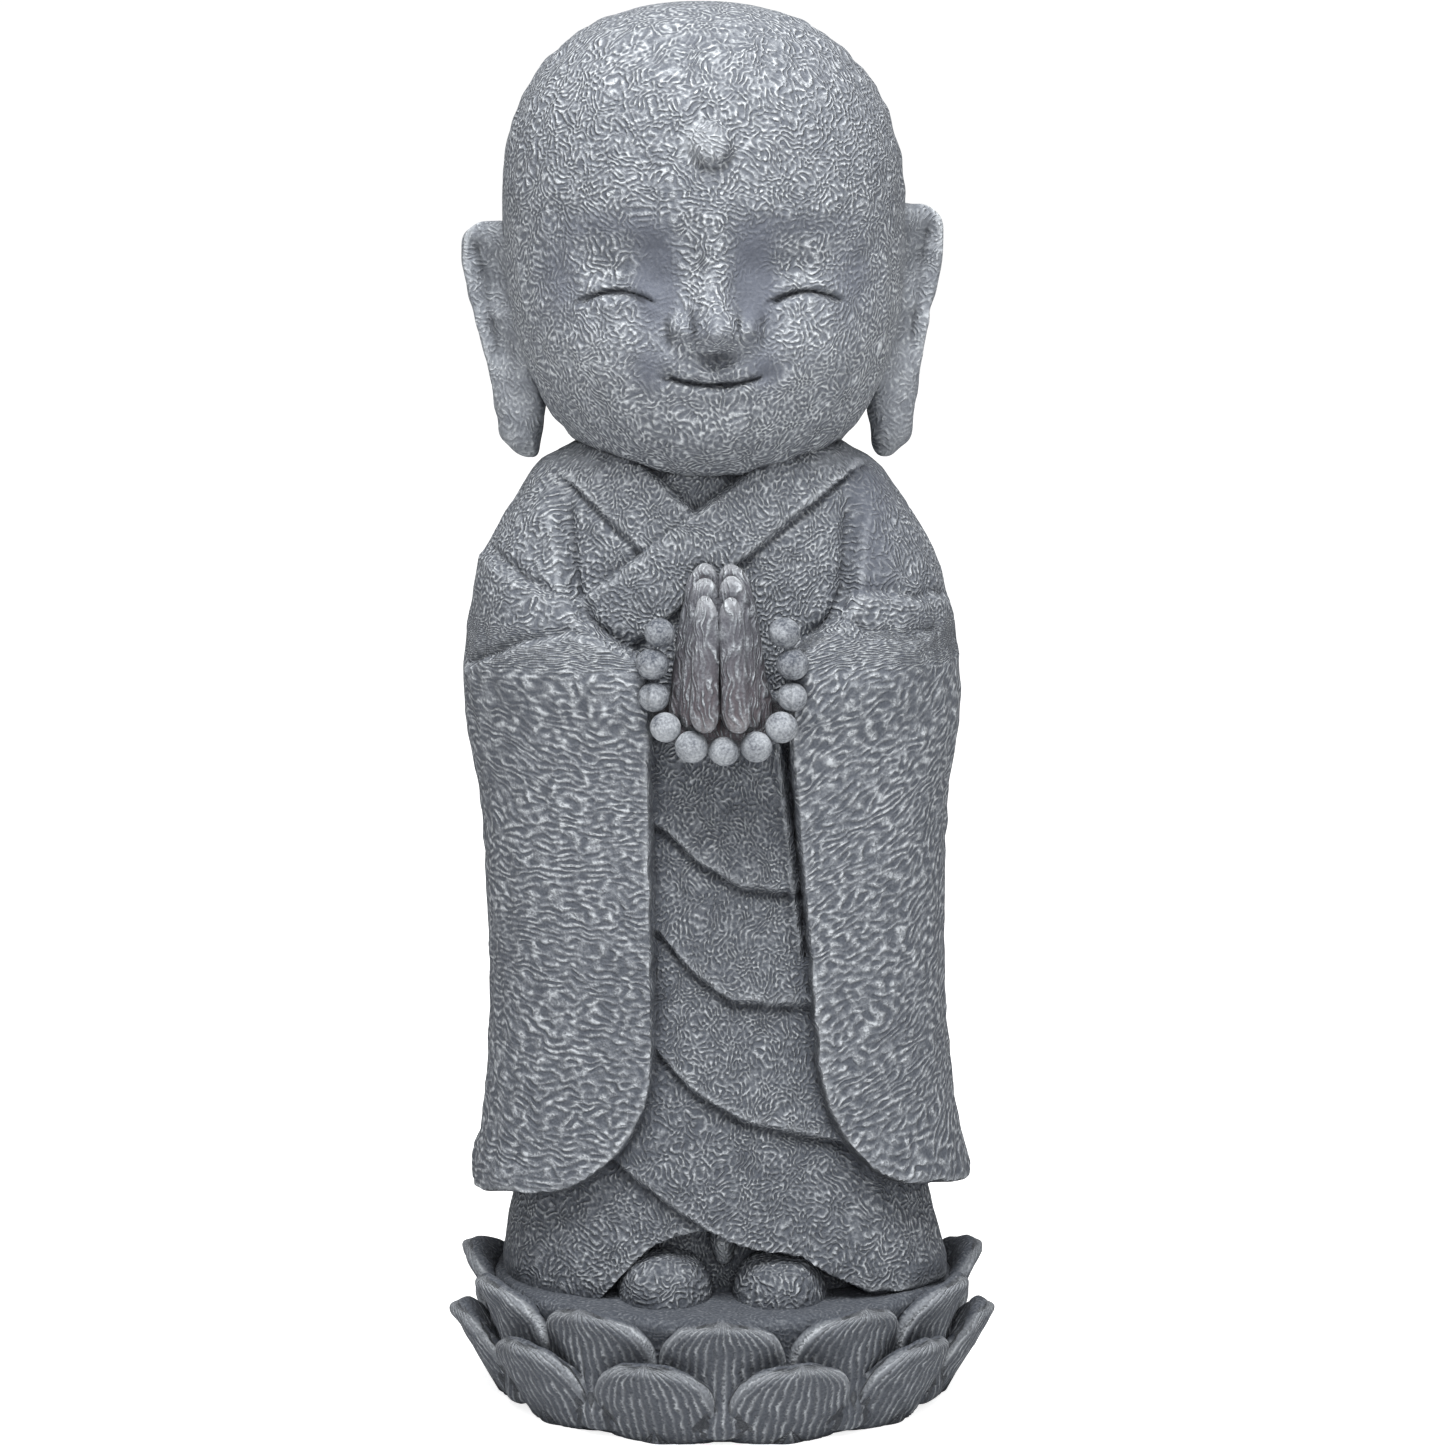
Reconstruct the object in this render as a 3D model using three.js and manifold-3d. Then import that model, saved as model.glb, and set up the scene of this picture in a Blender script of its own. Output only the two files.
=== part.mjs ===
// A garden statue of a child monk with pressed palms, standing on a lotus base, cast in stone as one piece.
// Millimetres, +Z up. The figure faces -Y, and the origin is the centre of the flat underside.

import * as THREE from "three";
import { mergeVertices } from "three/addons/utils/BufferGeometryUtils.js";
import Module from "manifold-3d";

const wasm = await Module();
wasm.setup();

// Lotus base
const BASE_FOOT_RADIUS = 79;
const BASE_WAIST_RADIUS = 80;
const DECK_HEIGHT = 45;
const DECK_RADIUS = 83;
const PETALS_IN_ROW = 11;
const PETAL_THICKNESS = 8;
const PETAL_CUP = 5;
const PETAL_INSET = 2;
const LOWER_PETAL_REACH = 102.5;
const LOWER_PETAL_TIP = 34;
const LOWER_PETAL_DIP = 2;
const UPPER_PETAL_REACH = 97.6;
const UPPER_PETAL_TIP = 50;
const UPPER_PETAL_DIP = 3;

// Figure
const FIGURE_LEAN = 8;
const BODY_HEIGHT = 300;
const BODY_WIDTH = 178;
const BODY_DEPTH = 120;
const HEAD_HEIGHT = 167;
const HEAD_WIDTH = 142;
const HEAD_DEPTH = 140;
const HEAD_SINK = 12;
const HEAD_TURN = 3;
const HEAD_SQUARENESS = 0.92;
const JAW_POWER = 2.7;
const CHIN_POWER = 3.9;
const LEFT_EAR_HEIGHT = 90;
const RIGHT_EAR_HEIGHT = 84;
const EAR_THICKNESS = 15;
const URNA_RADIUS = 7.5;
const URNA_UP = 118;
const SOCKET_DEPTH = 4.5;
const CHEEK_SWELL = 3.5;
const BROW_SWELL = 1.5;
const MOUTH_SWELL = 2;
const CHIN_SWELL = 3;
const NOSE_UP = 55;
const NOSE_WIDTH = 24;
const NOSE_LENGTH = 60;
const EYE_SPACING = 64;
const EYE_WIDTH = 24;
const EYE_UP = 66;
const EYE_BOW = 5;
const EYE_LINE = 3.6;
const MOUTH_WIDTH = 32;
const MOUTH_UP = 39;
const MOUTH_BOW = -4;
const MOUTH_LINE = 4;
const EAR_DROP = 6;
const EAR_SWEEP = 38;
const EAR_SETBACK = 6;
const EAR_INNER_SHARE = 0.8;

// Robe
const LAYER_STEP = 5;
const LAYER_FADE = 30;
const COLLAR_STEP = 3;
const FOLD_RADIUS = 11;
const SLEEVE_BACK = 24;
const FOREARM_DEPTH = 34;
const FOREARM_HEIGHT = 42;

// Hands, beads and feet
const HANDS_ACROSS = 3.4;
const HANDS_UP = 67;
const HAND_LENGTH = 62;
const HAND_WIDTH = 37;
const HAND_FORWARD = 61;
const BEAD_COUNT = 11;
const BEAD_DIAMETER = 12;
const BEAD_SWING = 4;
const BEAD_LOOP_WIDTH = 48.5;
const BEAD_LOOP_HEIGHT = 51;
const FOOT_WIDTH = 33;
const FOOT_HEIGHT = 17;

// Fineness of the faceted surfaces
const BODY_COLUMNS = 28;
const ROBE_ROWS = 14;
const ARM_ROWS = 14;
const HEAD_COLUMNS = 34;
const HEAD_ROWS = 20;
const EAR_COLUMNS = 10;
const EAR_ROWS = 9;
const PETAL_COLUMNS = 10;
const PETAL_ROWS = 4;
const MERGE_DISTANCE = 1e-4;

const CROWN_HEIGHT = DECK_HEIGHT + BODY_HEIGHT - HEAD_SINK + HEAD_HEIGHT;
const CUT_DEPTH = BODY_DEPTH;

// A closed geometry becomes a solid once its vertices are merged by place alone.
function solid(geometry) {
  const bare = geometry.clone();
  bare.deleteAttribute("normal");
  bare.deleteAttribute("uv");
  const merged = mergeVertices(bare, MERGE_DISTANCE);
  const mesh = new wasm.Mesh({
    numProp: 3,
    vertProperties: merged.attributes.position.array,
    triVerts: new Uint32Array(merged.index.array),
  });
  return new wasm.Manifold(mesh);
}

function join(solids) {
  return solids.reduce((whole, next) => whole.add(next));
}

// A sphere's grid of points, each put where place(round, down) says: round runs once about the axis and down
// from the top pole to the bottom one.
function closedForm(columns, rows, place) {
  const geometry = new THREE.SphereGeometry(1, columns, rows);
  const positions = geometry.attributes.position;
  for (let i = 0; i < positions.count; i += 1) {
    const column = i % (columns + 1);
    const row = Math.floor(i / (columns + 1));
    const point = place((column % columns) / columns, row / rows);
    positions.setXYZ(i, point.x, point.y, point.z);
  }
  return solid(geometry);
}

// Cosine or sine raised to a power that squares a circle a little.
function squared(value, power) {
  return Math.sign(value) * Math.abs(value) ** power;
}

// Smooth step from 0 at low to 1 at high.
function rise(value, low, high) {
  return THREE.MathUtils.smoothstep(value, low, high);
}

// An egg with its centre, half sizes and a turn about each axis given.
function egg(centre, halfSizes, turn = [0, 0, 0], columns = 9, rows = 6) {
  const geometry = new THREE.SphereGeometry(1, columns, rows);
  geometry.rotateX(Math.PI / 2);
  geometry.scale(...halfSizes);
  geometry.rotateX(turn[0]);
  geometry.rotateY(turn[1]);
  geometry.rotateZ(turn[2]);
  geometry.translate(...centre);
  return solid(geometry);
}

// A flat outline in X and Z, given a depth along Y from front to back.
function slab(outline, front, back) {
  const shape = new THREE.Shape(outline);
  const geometry = new THREE.ExtrudeGeometry(shape, { depth: back - front, bevelEnabled: false });
  geometry.rotateX(Math.PI / 2);
  geometry.translate(0, back, 0);
  return solid(geometry);
}

// A round cord along a smooth curve through points, used as a cutter for carved lines.
function cord(points, radius) {
  const path = new THREE.CatmullRomCurve3(points);
  const section = new THREE.Shape().absarc(0, 0, radius, 0, 2 * Math.PI);
  const geometry = new THREE.ExtrudeGeometry(section, {
    steps: 6,
    curveSegments: 3,
    bevelEnabled: false,
    extrudePath: path,
  });
  return solid(geometry);
}

// A place on the body: hundredths of its half width across, of its half depth forward and of its height up
// from the deck.
function bodyX(across) {
  return (across * BODY_WIDTH) / 200;
}

function bodyY(forward) {
  return (-forward * BODY_DEPTH) / 200;
}

function bodyZ(up) {
  return DECK_HEIGHT + (up * BODY_HEIGHT) / 100;
}

function bodyOutline(points) {
  return points.map(([across, up]) => new THREE.Vector2(bodyX(across), bodyZ(up)));
}

// A body of rounded sections. Each row holds a height, a half width and a half depth in hundredths of the
// body's own, from the top down, and grow(up) is a length added all round at that height.
function bodyForm(rows, rowCount, grow) {
  const curve = new THREE.CatmullRomCurve3(
    rows.map(([up, width, depth]) => new THREE.Vector3(width, depth, up)),
  );
  const sections = curve.getPoints(rowCount);
  return closedForm(BODY_COLUMNS, rowCount + 2, (round, down) => {
    const step = Math.round(down * (rowCount + 2));
    const section = sections[THREE.MathUtils.clamp(step - 1, 0, rowCount)];
    const size = step === 0 || step === rowCount + 2 ? 0 : 1;
    const extra = grow(section.z);
    const angle = round * 2 * Math.PI;
    const halfWidth = bodyX(section.x) + extra;
    const halfDepth = (section.y * BODY_DEPTH) / 200 + extra;
    return new THREE.Vector3(
      size * halfWidth * squared(Math.cos(angle), 0.84),
      size * halfDepth * squared(Math.sin(angle), 0.84),
      bodyZ(section.z),
    );
  });
}

const ROBE_SECTIONS = [
  [103.5, 34, 48],
  [100, 52, 64],
  [95.5, 67, 72],
  [91, 77, 75],
  [85, 84, 77],
  [76, 86, 77],
  [66, 84, 76],
  [51, 80, 76],
  [35, 78, 79],
  [21, 79, 84],
  [11, 83.5, 91],
  [4, 88.5, 97],
  [-2, 90.5, 98],
];

const ARM_SECTIONS = [
  [101, 60, 74],
  [94.7, 74.7, 84],
  [87.7, 89, 91],
  [80.3, 96.6, 97],
  [73, 99.8, 101],
  [66, 98.9, 100],
  [58.7, 94.8, 98],
  [45.7, 92.8, 97],
  [27.3, 93.8, 97.5],
  [16.3, 98.5, 101],
  [11.7, 102, 104],
  [8, 98, 101],
];

// An ear's outer edge: height up the ear and distance out from the head's middle, in hundredths of the
// ear's height and of the head's half width.
const EAR_SECTIONS = [
  [100, 100],
  [98, 115],
  [90, 120],
  [70, 117.5],
  [52, 111.5],
  [36, 107.5],
  [18, 105.5],
  [6, 103],
  [0, 95],
];

function robe(grow = () => 0) {
  return bodyForm(ROBE_SECTIONS, ROBE_ROWS, grow);
}

function arms(grow = () => 0) {
  return bodyForm(ARM_SECTIONS, ARM_ROWS, grow);
}

// One arm with its hanging sleeve, on the side -1 or 1: the arm form inside an outline that runs down the
// sleeve's front edge, round its lower corner, out along the hem and back up over the shoulder.
function armWithSleeve(side, edgeTop, edgeLow, hem) {
  const cornerUp = hem + 18;
  const cornerOut = 84;
  const corner = [0, 20, 40, 60, 80].map((degrees) => {
    const angle = THREE.MathUtils.degToRad(degrees);
    const across = cornerOut - (cornerOut - edgeLow) * Math.cos(angle);
    return [across, cornerUp - (cornerUp - hem) * Math.sin(angle)];
  });
  const outline = [
    [edgeTop, 75],
    [edgeTop, 65.6],
    ...corner,
    [cornerOut + 8, hem - 1.5],
    [cornerOut + 30, hem - 2],
    [cornerOut + 30, 104],
    [70, 104],
    [65, 92],
    [60, 82],
    [46, 77.5],
  ];
  const sided = outline.map(([across, up]) => [side * across, up]);
  const cutter = slab(bodyOutline(sided), -CUT_DEPTH, SLEEVE_BACK);
  return arms().intersect(cutter);
}

// The forearm inside the sleeve, which rounds the cloth forward to the wrist.
function forearm(side) {
  const elbow = new THREE.Vector3(side * bodyX(76), bodyY(40), bodyZ(74));
  const wrist = new THREE.Vector3(side * bodyX(30) + bodyX(4), bodyY(77), bodyZ(72));
  const middle = elbow.clone().add(wrist).multiplyScalar(0.5);
  const reach = wrist.clone().sub(elbow);
  const turn = Math.atan2(reach.y, reach.x);
  const halfSizes = [reach.length() * 0.66, FOREARM_DEPTH / 2, FOREARM_HEIGHT / 2];
  return egg(middle.toArray(), halfSizes, [0, 0, turn], 10, 6);
}

// A cloth layer that stands proud at its hem and fades into the robe above it.
function robeLayer(hemPoints, hemUp) {
  const first = hemPoints[0];
  const last = hemPoints[hemPoints.length - 1];
  const outline = [...hemPoints, [last[0], last[1] + LAYER_FADE], [first[0], first[1] + LAYER_FADE]];
  const region = slab(bodyOutline(outline), -CUT_DEPTH, 0);
  const grow = (up) => -1 + (LAYER_STEP + 1) * (1 - rise(up, hemUp, hemUp + LAYER_FADE));
  return robe(grow).intersect(region);
}

// A patch of cloth lying over the robe or an arm, inside an outline on the front.
function patch(form, step, outline) {
  return form(() => step).intersect(slab(bodyOutline(outline), -CUT_DEPTH, 0));
}

function robeWithLayers() {
  const footOpening = slab(
    bodyOutline([
      [-47, -6],
      [46, -6],
      [44, 2],
      [31, 5.5],
      [15, 8],
      [-9, 8],
      [-26, 6.5],
      [-35, 3.5],
    ]),
    -CUT_DEPTH,
    -BODY_DEPTH * 0.37,
  );
  const layers = [
    robeLayer([[-24, 55.6], [-6, 51.8], [10, 49.1], [36, 48.3]], 48),
    robeLayer([[-24, 43.7], [-10, 39.2], [5, 35.6], [40, 34.8]], 35),
    robeLayer([[-28, 31], [-11, 25.2], [8, 21.6], [44, 18]], 20),
    robeLayer(
      [[-39, 15.6], [-16, 10.7], [4, 7], [20, 5.8], [31, 5.7], [43, 2.9], [58, 0.4], [82, 0.2]],
      3,
    ),
  ];
  return join([robe().subtract(footOpening), ...layers]);
}

function collar() {
  const underBand = [[-60, 98.5], [-26, 87.5], [0, 90], [-3, 93], [-26, 98.5]];
  const overBand = [[-40, 84], [-24, 80], [16, 88], [64, 100], [22, 98.5], [-3, 92], [-25, 87.5]];
  return join([
    patch(robe, COLLAR_STEP, underBand),
    patch(robe, COLLAR_STEP * 1.8, overBand),
  ]);
}

// A rounded ridge of cloth between two places, each across, up and forward in hundredths of the body.
function ridge([fromAcross, fromUp, fromForward], [toAcross, toUp, toForward], radius) {
  const from = new THREE.Vector3(bodyX(fromAcross), bodyY(fromForward), bodyZ(fromUp));
  const to = new THREE.Vector3(bodyX(toAcross), bodyY(toForward), bodyZ(toUp));
  const along = to.clone().sub(from);
  const turn = new THREE.Quaternion().setFromUnitVectors(
    new THREE.Vector3(1, 0, 0),
    along.clone().normalize(),
  );
  const geometry = new THREE.SphereGeometry(1, 8, 5);
  geometry.rotateZ(Math.PI / 2);
  geometry.scale(along.length() / 2, radius, radius);
  geometry.applyQuaternion(turn);
  geometry.translate(...from.add(to).multiplyScalar(0.5).toArray());
  return solid(geometry);
}

// The folds where the sleeves bend at the elbows, and the pleat beside the front edge of the sleeve at +X.
function sleeveFolds() {
  const sidePleat = [[26, 66], [30, 66], [36, 40], [33, 40]];
  return join([
    ridge([-91, 85, 38], [-44, 74.5, 87], FOLD_RADIUS),
    ridge([-93, 70.5, 36], [-48, 77, 87], FOLD_RADIUS),
    ridge([92, 79, 32], [50, 79.5, 79], FOLD_RADIUS),
    patch(robe, LAYER_STEP * 1.4, sidePleat),
  ]);
}

// The head's half width at a share of its height: a wide crown over full cheeks and a round jaw. A higher
// power below the widest place makes the jaw fuller.
function headSpread(share, jawPower = JAW_POWER) {
  const widest = 0.58;
  const crown = Math.max(0, (share - widest) / (1 - widest));
  const jaw = Math.max(0, (widest - share) / widest);
  return share > widest ? (1 - crown ** 2.25) ** (1 / 2.25) : (1 - jaw ** jawPower) ** (1 / jawPower);
}

// A soft swelling, 1 at its middle, fading over two spreads.
function swelling(dx, dz, spreadX, spreadZ) {
  return Math.exp(-((dx / spreadX) ** 2) - (dz / spreadZ) ** 2);
}

// How far the face stands forward of the plain head at a place across the middle and above the chin. Places
// and spreads are shares of the head's half width and height.
function faceRelief(x, up) {
  const across = x / (HEAD_WIDTH / 2);
  const side = Math.abs(across);
  const height = up / HEAD_HEIGHT;
  const sockets = SOCKET_DEPTH * swelling(side - 0.38, height - 0.443, 0.28, 0.072);
  const cheeks = CHEEK_SWELL * swelling(side - 0.51, height - 0.287, 0.28, 0.108);
  const brow = BROW_SWELL * swelling(across, height - 0.575, 0.85, 0.072);
  const mouth = MOUTH_SWELL * swelling(across, height - 0.24, 0.31, 0.072);
  const chin = CHIN_SWELL * swelling(across, height - 0.096, 0.25, 0.06);
  return cheeks + brow + mouth + chin - sockets;
}

// The front of the face: how far forward it lies at a place across and above the chin.
function faceFront(x, up) {
  const spread = headSpread(up / HEAD_HEIGHT);
  if (spread === 0) return 0;
  const cosine = Math.min(1, Math.abs(x) / ((HEAD_WIDTH / 2) * spread)) ** (1 / HEAD_SQUARENESS);
  const sine = Math.sqrt(1 - cosine ** 2);
  const relief = faceRelief(x, up) * rise(sine * spread, 0.2, 0.7);
  return (HEAD_DEPTH / 2) * headSpread(up / HEAD_HEIGHT, CHIN_POWER) * sine ** HEAD_SQUARENESS + relief;
}

// The skull with its face, its columns drawn closer together at the front.
function skull() {
  const bottom = CROWN_HEIGHT - HEAD_HEIGHT;
  return closedForm(HEAD_COLUMNS, HEAD_ROWS, (round, down) => {
    const share = 0.25 + 0.5 * (1 - down) + 0.25 * Math.cos(down * Math.PI);
    const spread = headSpread(share);
    const turn = round * 2 * Math.PI;
    const angle = turn + 0.4 * Math.sin(turn) + Math.PI / 2;
    const x = (HEAD_WIDTH / 2) * spread * squared(Math.cos(angle), HEAD_SQUARENESS);
    const back = Math.max(0, Math.sin(angle));
    const napeTuck = 1 - 0.3 * back * (1 - rise(share, 0, 0.45));
    const y = (HEAD_DEPTH / 2) * spread * back ** HEAD_SQUARENESS * napeTuck;
    const up = share * HEAD_HEIGHT;
    return new THREE.Vector3(x, Math.sin(angle) < 0 ? -faceFront(x, up) : y, bottom + up);
  });
}

// One long ear, flaring out and back from the side of the head, with its hollow scooped out of the front.
function ear(side) {
  const earBottom = CROWN_HEIGHT - HEAD_HEIGHT + EAR_DROP;
  const earHeight = side > 0 ? LEFT_EAR_HEIGHT : RIGHT_EAR_HEIGHT;
  const edge = new THREE.CatmullRomCurve3(
    EAR_SECTIONS.map(([up, outer]) => new THREE.Vector3(outer, 0, up)),
  ).getPoints(EAR_ROWS);
  const slope = Math.tan(THREE.MathUtils.degToRad(EAR_SWEEP));
  const inner = (HEAD_WIDTH / 2) * EAR_INNER_SHARE;
  const blade = closedForm(EAR_COLUMNS, EAR_ROWS, (round, down) => {
    const point = edge[Math.round(down * EAR_ROWS)];
    const outer = (point.x / 100) * (HEAD_WIDTH / 2);
    const taper = Math.sin(Math.PI * down) ** 0.4;
    const half = down === 0 || down === 1 ? 0 : (outer - inner) / 2;
    const angle = side * round * 2 * Math.PI;
    const along = half * squared(Math.cos(angle), 0.8);
    const thick = (EAR_THICKNESS / 2) * taper * squared(Math.sin(angle), 0.8);
    return new THREE.Vector3(
      side * ((outer + inner) / 2 + along - thick * 0.35),
      EAR_SETBACK + along * slope + thick,
      earBottom + (point.z * earHeight) / 100,
    );
  });
  const hollowX = side * ((HEAD_WIDTH / 2) * 1.04);
  const hollow = egg(
    [hollowX, EAR_SETBACK - 7, earBottom + earHeight * 0.66],
    [6, 6, earHeight * 0.2],
    [0, side * 0.16, 0],
  );
  return blade.subtract(hollow);
}

function nose() {
  const chinHeight = CROWN_HEIGHT - HEAD_HEIGHT;
  const front = -faceFront(0, NOSE_UP);
  const height = chinHeight + NOSE_UP;
  const part = NOSE_WIDTH / 24;
  const bridge = egg(
    [0, front + 3.5 * part, height + NOSE_LENGTH / 3],
    [7 * part, 6 * part, NOSE_LENGTH / 2],
    [0.06, 0, 0],
    8,
    8,
  );
  const tip = egg([0, front + part, height + part], [7 * part, 8 * part, 8 * part], [-0.3, 0, 0], 8, 6);
  const wings = [-1, 1].map((side) =>
    egg(
      [side * 7 * part, front + 2.5 * part, height - part],
      [5 * part, 6 * part, 4.5 * part],
      [0, 0, 0],
      8,
      5,
    ),
  );
  return join([bridge, tip, ...wings]);
}

// The carved lines of the closed eyes and the smile, each an arc drawn across the front of the face.
function faceLines() {
  const chinHeight = CROWN_HEIGHT - HEAD_HEIGHT;
  const arc = (centre, halfWidth, up, bow) =>
    [-1, -0.5, 0, 0.5, 1].map((share) => {
      const x = centre + share * halfWidth;
      const z = up + bow * (1 - share * share);
      return new THREE.Vector3(x, -faceFront(x, z), chinHeight + z);
    });
  return join([
    cord(arc(-EYE_SPACING / 2, EYE_WIDTH / 2, EYE_UP, EYE_BOW), EYE_LINE / 2),
    cord(arc(EYE_SPACING / 2, EYE_WIDTH / 2, EYE_UP, EYE_BOW), EYE_LINE / 2),
    cord(arc(0, MOUTH_WIDTH / 2, MOUTH_UP, MOUTH_BOW), MOUTH_LINE / 2),
  ]);
}

function head() {
  const chinHeight = CROWN_HEIGHT - HEAD_HEIGHT;
  const urna = egg(
    [0, -faceFront(0, URNA_UP) + URNA_RADIUS * 0.3, chinHeight + URNA_UP],
    [URNA_RADIUS, URNA_RADIUS * 0.8, URNA_RADIUS],
  );
  const face = join([skull(), nose(), urna]).subtract(faceLines());
  return join([face, ear(-1), ear(1)]).rotate([0, 0, HEAD_TURN]);
}

// A finger or thumb: an upright rounded rod between two heights.
function finger(x, y, bottom, top, halfWidth, halfDepth, leanIn) {
  return closedForm(8, 7, (round, down) => {
    const share = 0.5 + 0.5 * Math.cos(down * Math.PI);
    const angle = round * 2 * Math.PI;
    const size = down === 0 || down === 1 ? 0 : Math.sin(down * Math.PI) ** 0.5;
    const taper = 1 - 0.25 * share;
    return new THREE.Vector3(
      x - leanIn * share + size * taper * halfWidth * Math.cos(angle),
      y + size * taper * halfDepth * Math.sin(angle),
      bottom + share * (top - bottom),
    );
  });
}

// Two hands pressed palm to palm, each with its fingers behind and its thumb along the front.
function hands() {
  const middle = bodyX(HANDS_ACROSS);
  const bottom = bodyZ(HANDS_UP);
  const each = [-1, 1].flatMap((side) => [
    finger(
      middle + side * HAND_WIDTH * 0.25,
      -HAND_FORWARD + 3,
      bottom - 12,
      bottom + HAND_LENGTH,
      HAND_WIDTH * 0.28,
      12,
      side * HAND_WIDTH * 0.12,
    ),
    finger(
      middle + side * HAND_WIDTH * 0.155,
      -HAND_FORWARD - 9,
      bottom + 3,
      bottom + HAND_LENGTH * 0.77,
      HAND_WIDTH * 0.165,
      7,
      side * 1,
    ),
  ]);
  const wrists = egg([middle, -HAND_FORWARD + 15, bottom + 4], [HAND_WIDTH * 0.8, 12, 12]);
  return join([...each, wrists]);
}

// The string of beads hung over the hands: balls a bead apart round the lower part of a squared loop.
function beads() {
  const from = THREE.MathUtils.degToRad(31);
  const sweep = THREE.MathUtils.degToRad(242);
  const loop = new THREE.CatmullRomCurve3(
    Array.from({ length: 40 }, (unused, i) => {
      const angle = from - (sweep * i) / 39;
      return new THREE.Vector3(
        bodyX(HANDS_ACROSS) + 1 + (BEAD_LOOP_WIDTH / 2) * squared(Math.cos(angle), 0.8),
        -HAND_FORWARD - 2 - BEAD_SWING * rise(-Math.sin(angle), 0, 1),
        bodyZ(75) + (BEAD_LOOP_HEIGHT / 2) * squared(Math.sin(angle), 0.8),
      );
    }),
  );
  const places = loop.getSpacedPoints(BEAD_COUNT - 1);
  return join(places.map((place) => {
    const radius = BEAD_DIAMETER / 2;
    return egg(place.toArray(), [radius, radius, radius], [0, 0, 0], 7, 4);
  }));
}

function feet() {
  return join([-1, 1].map((side) => {
    const x = side * FOOT_WIDTH * 0.62;
    const halfSizes = [FOOT_WIDTH / 2, 22, FOOT_HEIGHT];
    return egg([x, -BODY_DEPTH * 0.38, DECK_HEIGHT - 1], halfSizes, [0, 0, 0], 10, 6);
  }));
}

// The lower petals lean out evenly from the base's foot to their tips.
function lowerPetalRadius(z) {
  const share = THREE.MathUtils.clamp(z / LOWER_PETAL_TIP, 0, 1.05);
  return BASE_FOOT_RADIUS + 2 + (LOWER_PETAL_REACH - BASE_FOOT_RADIUS - 2) * share ** 0.85;
}

// The upper petals stand upright behind the lower ones and flare out at their tips.
function upperPetalRadius(z) {
  const share = THREE.MathUtils.clamp((z - 12) / (UPPER_PETAL_TIP - 12), 0, 1.05);
  return BASE_WAIST_RADIUS + 4 + (UPPER_PETAL_REACH - BASE_WAIST_RADIUS - 4) * share ** 2.2;
}

// One petal: a domed leaf bent round the base between its root and its tip, its sides set back. Across and
// height run over a squared disc, and the third direction is its thickness.
function petal(azimuth, rootHeight, tipHeight, radiusAt) {
  const halfAngle = (Math.PI / PETALS_IN_ROW) * 1.01;
  const geometry = new THREE.SphereGeometry(1, PETAL_COLUMNS, PETAL_ROWS);
  const positions = geometry.attributes.position;
  for (let i = 0; i < positions.count; i += 1) {
    const flat = Math.hypot(positions.getX(i), positions.getZ(i)) ** 0.8;
    const around = Math.atan2(positions.getX(i), positions.getZ(i));
    const height = flat * squared(Math.sin(around), 0.86);
    const across = flat * squared(Math.cos(around), 0.86);
    const z = rootHeight + ((tipHeight - rootHeight) * (height + 1)) / 2;
    const thick = (positions.getY(i) * PETAL_THICKNESS) / 2 - PETAL_INSET;
    const radius = radiusAt(z) - PETAL_CUP * across ** 2 + thick;
    const angle = azimuth + halfAngle * across;
    positions.setXYZ(i, radius * Math.sin(angle), -radius * Math.cos(angle), z);
  }
  return solid(geometry);
}

// The upper row's petals stand between the lower row's, and the tips dip a little at the front and back.
function petals() {
  const step = (2 * Math.PI) / PETALS_IN_ROW;
  return Array.from({ length: PETALS_IN_ROW }, (unused, i) => {
    const upper = step * i;
    const lower = step * (i + 0.5);
    const upperTip = UPPER_PETAL_TIP - UPPER_PETAL_DIP * Math.cos(upper) ** 2;
    const lowerTip = LOWER_PETAL_TIP - LOWER_PETAL_DIP * Math.cos(lower) ** 2;
    return [petal(upper, 2, upperTip, upperPetalRadius), petal(lower, -20, lowerTip, lowerPetalRadius)];
  }).flat();
}

function lotusBase() {
  const profile = [
    [0, 0],
    [BASE_FOOT_RADIUS, 0],
    [BASE_WAIST_RADIUS, 8],
    [BASE_WAIST_RADIUS, DECK_HEIGHT - 9],
    [DECK_RADIUS, DECK_HEIGHT - 3],
    [DECK_RADIUS - 3, DECK_HEIGHT],
    [0, DECK_HEIGHT],
  ].map(([radius, height]) => new THREE.Vector2(radius, height));
  const core = new THREE.LatheGeometry(profile, PETALS_IN_ROW * 2);
  core.rotateX(Math.PI / 2);
  const below = slab(
    [
      new THREE.Vector2(-2 * LOWER_PETAL_REACH, -50),
      new THREE.Vector2(2 * LOWER_PETAL_REACH, -50),
      new THREE.Vector2(2 * LOWER_PETAL_REACH, 0),
      new THREE.Vector2(-2 * LOWER_PETAL_REACH, 0),
    ],
    -2 * LOWER_PETAL_REACH,
    2 * LOWER_PETAL_REACH,
  );
  return join([solid(core), ...petals()]).subtract(below);
}

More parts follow.
